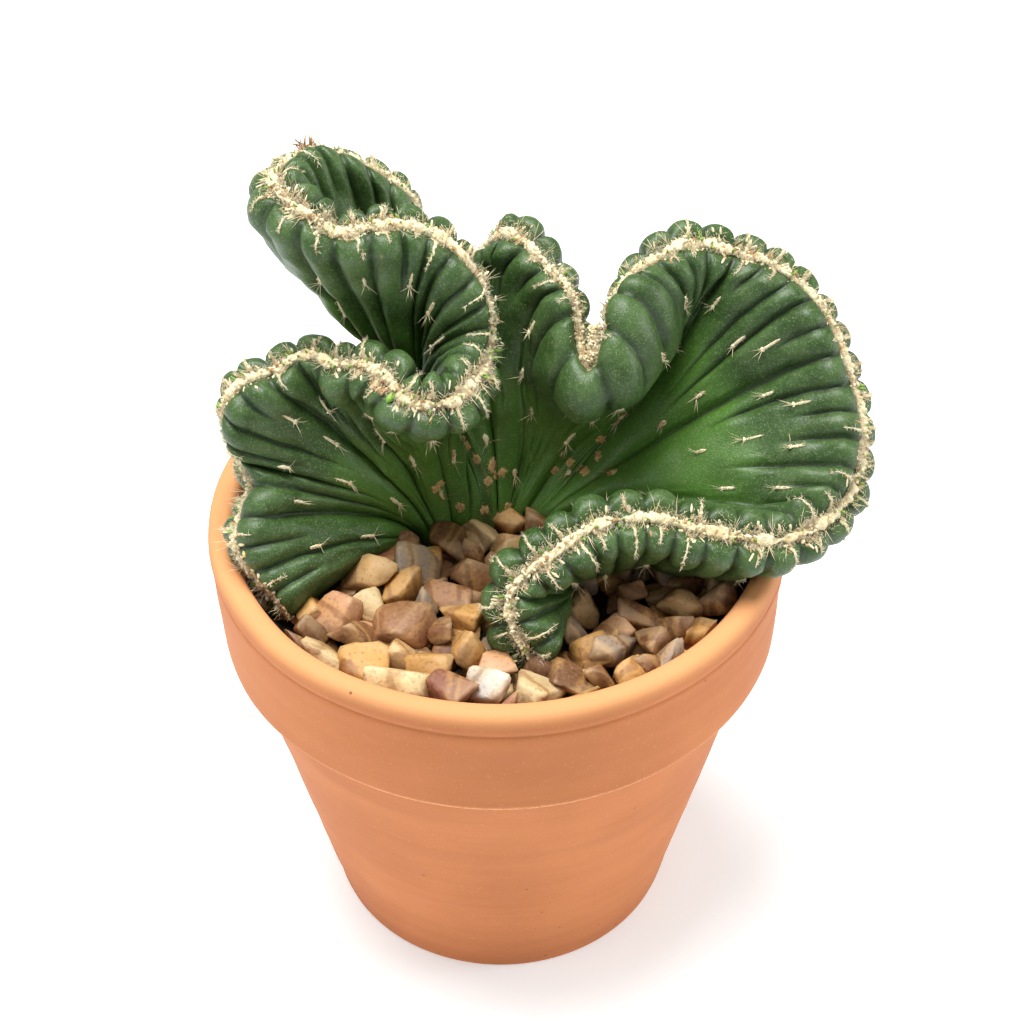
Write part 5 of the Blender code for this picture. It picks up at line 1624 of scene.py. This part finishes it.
@dataclass
class Gravel:
    """The gravel: separate worn stone chips, those that show and two layers of fill.

    Each layer of the fill has its height under the rim, how far its stones keep apart, and how often a place
    for one is tried, and the sorts of stone come in it in the shares given. Lengths are in millimetres.
    """
    reach: float = 50.2
    layers: tuple = ((-5.9, 6.0, 4500), (-9.0, 6.0, 3500))
    lengths: Span = (6.6, 10.2)
    widths: Span = (5.2, 7.8)
    sorts: tuple = (0.16, 0.13, 0.27, 0.2, 0.12, 0.07, 0.04, 0.01)
    grown: float = 1.02
    planes: Span = (0.75, 1.15)
    tilt: float = 0.20
    cut: Span = (0.16, 0.46)
    wear: float = 0.18
    lean: float = 0.42
    seed: int = 4

    def places(self, body: BVHTree) -> tuple[np.ndarray, ...]:
        """Each stone's place, half sizes, turn and tint: those that show first, then a fill.

        Args:
            body: The plant's solid, which no stone's centre is inside.
        Returns:
            The places in millimetres, the half sizes, the turns in radians and the tints.
        """
        rng = np.random.default_rng(self.seed)
        rows = []
        for x, y, length, width, turn, kind in STONES:
            thick = 0.55 * min(length, width) + 1.6
            height = -5.0 + rng.uniform(-0.6, 0.6)
            rows.append((x, y, height, length * self.grown, width * self.grown, thick, turn,
                         *StoneKind[kind].value))
        kinds = list(StoneKind)
        for level, apart, tries in self.layers:
            for _ in range(tries):
                radius, angle = self.reach * math.sqrt(rng.random()), rng.uniform(0, 2 * math.pi)
                x, y = radius * math.cos(angle), radius * math.sin(angle)
                length, width = rng.uniform(*self.lengths), rng.uniform(*self.widths)
                layer = (row for row in rows if abs(row[2] - level) < 2.2)
                if min((math.dist((x, y), row[:2]) for row in layer), default=99) < apart:
                    continue
                kind = kinds[rng.choice(len(kinds), p=self.sorts)]
                thick = 0.55 * min(length, width) + 1.4
                rows.append((x, y, level + rng.uniform(-0.9, 0.9), length, width, thick,
                             rng.uniform(0, 180), *kind.value))
        kept = []
        for row in rows:
            place = Vector(to_world(row[:3]) + POT_AXIS)
            seat, normal, _, gap = body.find_nearest(place)
            if (place - seat).dot(normal) > -1.0 * MM or gap > 7.0 * MM:
                kept.append(row)
        data = np.array(kept)
        return data[:, :3], data[:, 3:6] / 2 * MM, np.radians(data[:, 6]), data[:, 7:10]

    @staticmethod
    def pattern() -> tuple[np.ndarray, np.ndarray, list[np.ndarray]]:
        """How one stone's flats, worn edges and worn corners hang together.

        A stone is a block of six planes whose eight corners are cut off. Its 24 cut points are numbered
        by block corner and edge; each belongs to three flats. Every flat has its own copy of its points.

        Returns:
            The flat and the cut point of each of the 72 points, and the faces by how many sides they have.
        """
        signs = np.array(list(itertools.product((-1, 1), repeat=3)))
        flats = [[(c, k) for c in range(8) for k in range(3) if k != axis and signs[c][axis] == way]
                 for axis in range(3) for way in (-1, 1)]
        flats += [[(c, k) for k in range(3)] for c in range(8)]
        number = {key: n for n, key in enumerate((f, *p) for f, flat in enumerate(flats) for p in flat)}
        side = {(a, s): 2 * a + (s > 0) for a in range(3) for s in (-1, 1)}
        faces = [[(f, *p) for p in flat] for f, flat in enumerate(flats)]
        for c in range(8):
            for k in range(3):
                first, second = (side[a, signs[c][a]] for a in range(3) if a != k)
                faces.append([(first, c, k), (second, c, k), (6 + c, c, k)])
                other = int(c ^ (4 >> k))
                if other > c:
                    faces.append([(f, p, k) for f in (first, second) for p in (c, other)])
                after = (k + 1) % 3
                shared = side[3 - k - after, signs[c][3 - k - after]]
                faces.append([(f, c, p) for f in (6 + c, shared) for p in (k, after)])
        plain = np.array([signs[c] * np.where(np.arange(3) == k, 0.4, 1.0) for _, c, k in number], float)
        centre = np.array([plain[[number[f, *p] for p in flats[f]]].mean(0) for f, _, _ in number])
        plain = plain + (centre - plain) * 0.15
        blocks: dict[int, list] = {}
        for face in faces:
            index = np.array([number[p] for p in face])
            middle = plain[index].mean(0)
            first = unit(plain[index[0]] - middle)
            around = np.cross(unit(middle), first)
            turn = np.arctan2((plain[index] - middle) @ around, (plain[index] - middle) @ first)
            blocks.setdefault(len(face), []).append(index[np.argsort(turn)])
        keys = np.array(list(number))
        return keys[:, 0], keys[:, 1] * 3 + keys[:, 2], [np.array(block) for block in blocks.values()]

    def build(self, material: bpy.types.Material, body: BVHTree) -> None:
        """Builds the stones.

        Six tilted planes bound a block; its corners are where three of them meet. Each corner is cut off
        through points at random shares of its edges, and each flat is drawn in towards its middle, so
        that edges and corners are worn. The stone is then stretched, leant over and turned. A point's
        edge value is its distance from the stone's middle against the mean of the stone's.

        Args:
            material: The stones' finish.
            body: The plant's solid, which stones keep out of.
        """
        places, halves, turn, tint = self.places(body)
        count = len(places)
        rng = np.random.default_rng(self.seed + 1)
        flat, cut_point, blocks = self.pattern()
        signs = np.array(list(itertools.product((-1, 1), repeat=3)))
        ways = np.concatenate([-np.eye(3), np.eye(3)])[[0, 3, 1, 4, 2, 5]]
        planes = unit(ways + rng.normal(0, self.tilt, (count, 6, 3)))
        offsets = rng.uniform(*self.planes, (count, 6, 1))
        meeting = np.array([[2 * axis + (sign[axis] > 0) for axis in range(3)] for sign in signs])
        corners = np.linalg.solve(planes[:, meeting], offsets[:, meeting])[..., 0]
        others = np.array([[c ^ (4 >> k) for k in range(3)] for c in range(8)])
        shares = rng.uniform(*self.cut, (count, 8, 1)) * rng.uniform(0.6, 1.4, (count, 8, 3))
        edges = corners[:, others] - corners[:, :, None]
        cuts = corners[:, :, None] + edges * np.clip(shares, 0.08, 0.48)[..., None]
        local = cuts.reshape(count, 24, 3)[:, cut_point]
        belongs = (flat[None] == np.arange(14)[:, None]).astype(float)
        centres = np.einsum("fp,npi->nfi", belongs / belongs.sum(1, keepdims=True), local)[:, flat]
        wear = np.where(flat < 6, self.wear, 1.8 * self.wear)[None, :, None]
        local = local + (centres - local) * wear
        local = local - 0.5 * (local.max(1, keepdims=True) + local.min(1, keepdims=True))
        local = local / np.abs(local).max(1, keepdims=True) * halves[:, None]
        far = np.linalg.norm(local / halves[:, None], axis=-1)
        edge = far / far.mean(1, keepdims=True)
        lean = rng.normal(0, self.lean, (count, 2))
        turned = turning(turn, 2) @ turning(lean[:, 1], 1) @ turning(lean[:, 0], 0)
        points = np.einsum("nij,npj->npi", turned, local) + to_world(places)[:, None]
        out = np.hypot(points[..., 0], points[..., 1])
        squeeze = np.minimum(1.0, (MOUTH_RADIUS - 1.0 * MM) / np.maximum(out, 1e-9))
        points[..., :2] *= squeeze[..., None]
        size = len(flat)
        starts = size * np.arange(count)[:, None, None]
        faces = [(block[None] + starts).reshape(-1, block.shape[1]) for block in blocks]
        shade = tint * rng.uniform(0.8, 1.2, (count, 1))
        turned, _ = np.linalg.qr(rng.normal(size=(count, 3, 3)))
        grain = np.einsum("nij,npj->npi", turned, local) + rng.uniform(-0.5, 0.5, (count, 1, 3))
        values = {"tint": np.repeat(shade, size, 0), "grain": grain.reshape(-1, 3),
                  "edge": edge.reshape(-1, 1)}
        surface = Surface(points.reshape(-1, 3), faces, values)
        Piece("gravel_stones", surface, material, "gravel_stone", "gravel", turn_out=False)


@dataclass
class Soil:
    """The soil: a bumpy top between the stones, and the plug under it."""
    top: float = RIM_TOP - 10.4 * MM
    bottom: float = 7.3 * MM

    def build(self, material: bpy.types.Material) -> None:
        """A disc of rings whose height ripples, carried down the pot's wall and closed below.

        Args:
            material: The soil's finish.
        """
        sides, rows = 96, 60
        turn = np.arange(sides) * 2 * math.pi / sides
        radii = np.linspace(0.2, 53.0, rows) * MM
        flat = np.stack([np.outer(radii, np.cos(turn)), np.outer(radii, np.sin(turn)),
                         np.full((rows, sides), self.top)], -1)
        flat[..., 2] += 0.9 * MM * ripple(flat, 0.007, 77, 3)
        low = [(51.0, 80.0), (45.0, 50.0), (33.0, self.bottom / MM), (0.2, self.bottom / MM)]
        skirt = np.stack([np.stack([r * MM * np.cos(turn), r * MM * np.sin(turn),
                                    np.full(sides, z * MM)], -1) for r, z in low])
        surface = Surface.grid(np.concatenate([flat, skirt]), {}, wrap=True)
        surface.close((0, (rows + len(low) - 1) * sides), sides)
        Piece("soil_bed", surface, material, "soil", "soil")


@dataclass
class Studio:
    """The camera, the lights and the floor."""
    distance: float = 0.450
    elevation: float = 42.2
    roll: float = -0.27
    lens: float = 76.36
    target: tuple[float, float, float] = (2.85, 0.0, 103.6)
    surround: float = 0.41
    lamps: tuple = (("top", (-0.12, 0.06, 0.95), 0.60, 12.5), ("left", (-0.72, -0.22, 0.30), 0.45, 1.2),
                    ("right", (0.80, -0.05, 0.35), 0.45, 2.6))
    floor: Tint = (0.89, 0.92, 0.93)
    floor_glow: Tint = (0.90, 0.98, 1.0)

    def camera(self) -> None:
        """The camera at the photograph's view: it faces the target from a distance and an elevation."""
        data = bpy.data.cameras.new("view")
        data.lens = self.lens
        item = stand("view", data)
        bpy.context.scene.camera = item
        elevation = math.radians(self.elevation)
        target = Vector(np.array(self.target) * MM + POT_AXIS)
        back = Vector((0, -math.cos(elevation), math.sin(elevation)))
        right = Vector((1, 0, 0))
        up = back.cross(right)
        turn = Matrix.Rotation(math.radians(self.roll), 3, back)
        frame = Matrix((turn @ right, turn @ up, back)).transposed().to_4x4()
        frame.translation = target + back * self.distance
        item.matrix_world = frame

    def lamp(self, name: str, place: tuple[float, float, float], size: float, power: float) -> None:
        """One soft lamp that faces the plant.

        Args:
            name: The lamp's name.
            place: Where it stands.
            size: Its diameter.
            power: Its power in watts.
        """
        data = bpy.data.lights.new(name, "AREA")
        data.shape = "DISK"
        data.size = size
        data.energy = power
        item = stand(name, data)
        item.location = place
        item.rotation_euler = (Vector(place) - Vector((0, 0, 0.1))).to_track_quat("Z", "Y").to_euler()

    def build(self) -> None:
        """Sets the stage: a pale floor, soft lamps and a bright surround."""
        self.camera()
        bpy.context.scene.view_settings.view_transform = "Standard"
        world = bpy.data.worlds.new("surround")
        bpy.context.scene.world = world
        world.use_nodes = True
        background = world.node_tree.nodes["Background"]
        background.inputs["Color"].default_value = (1.0, 1.0, 1.0, 1.0)
        background.inputs["Strength"].default_value = self.surround
        for lamp in self.lamps:
            self.lamp(*lamp)
        mesh = bpy.data.meshes.new("floor")
        mesh.from_pydata([(-4, -4, 0), (4, -4, 0), (4, 4, 0), (-4, 4, 0)], [], [(0, 1, 2, 3)])
        shader = Shader("pale_floor")
        mesh.materials.append(shader.finish(Base_Color=self.floor, Roughness=0.7,
                                            Emission_Color=self.floor_glow, Emission_Strength=0.36))
        floor = stand("floor", mesh)
        floor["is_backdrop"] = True


def main(frame: dict) -> None:
    """Builds every piece in order.
    """
    logging.basicConfig(level=logging.INFO, format="%(message)s")
    packed = [list(corner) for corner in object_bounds()]
    Studio().build()
    solid = frame["nodes"]["cactus"].data
    tree = BVHTree.FromPolygons([v.co.copy() for v in solid.vertices],
                                [tuple(p.vertices) for p in solid.polygons])
    low, high = (np.array(corner) - POT_AXIS for corner in packed)
    box = (low + 0.1 * MM, high - 0.1 * MM)
    finishes = {"skin": SkinFinish().material(), "wool": WoolFinish().material(),
                "spine": SpineFinish().material(), "bud": BudFinish().material()}
    pot = Pot()
    pot.build(ClayFinish().material(pot.band_bottom))
    Soil().build(SoilFinish().material())
    Gravel().build(StoneFinish().material(), tree)
    cactus = Cactus(Fan(), finishes, box)
    cactus.body()
    cactus.wool_band()
    cactus.crest_fleece()
    cactus.crest_streaks()
    cactus.dress()
    cactus.buds()
    cactus.dried_bits()


if __name__ == "__main__":
    main(frame)
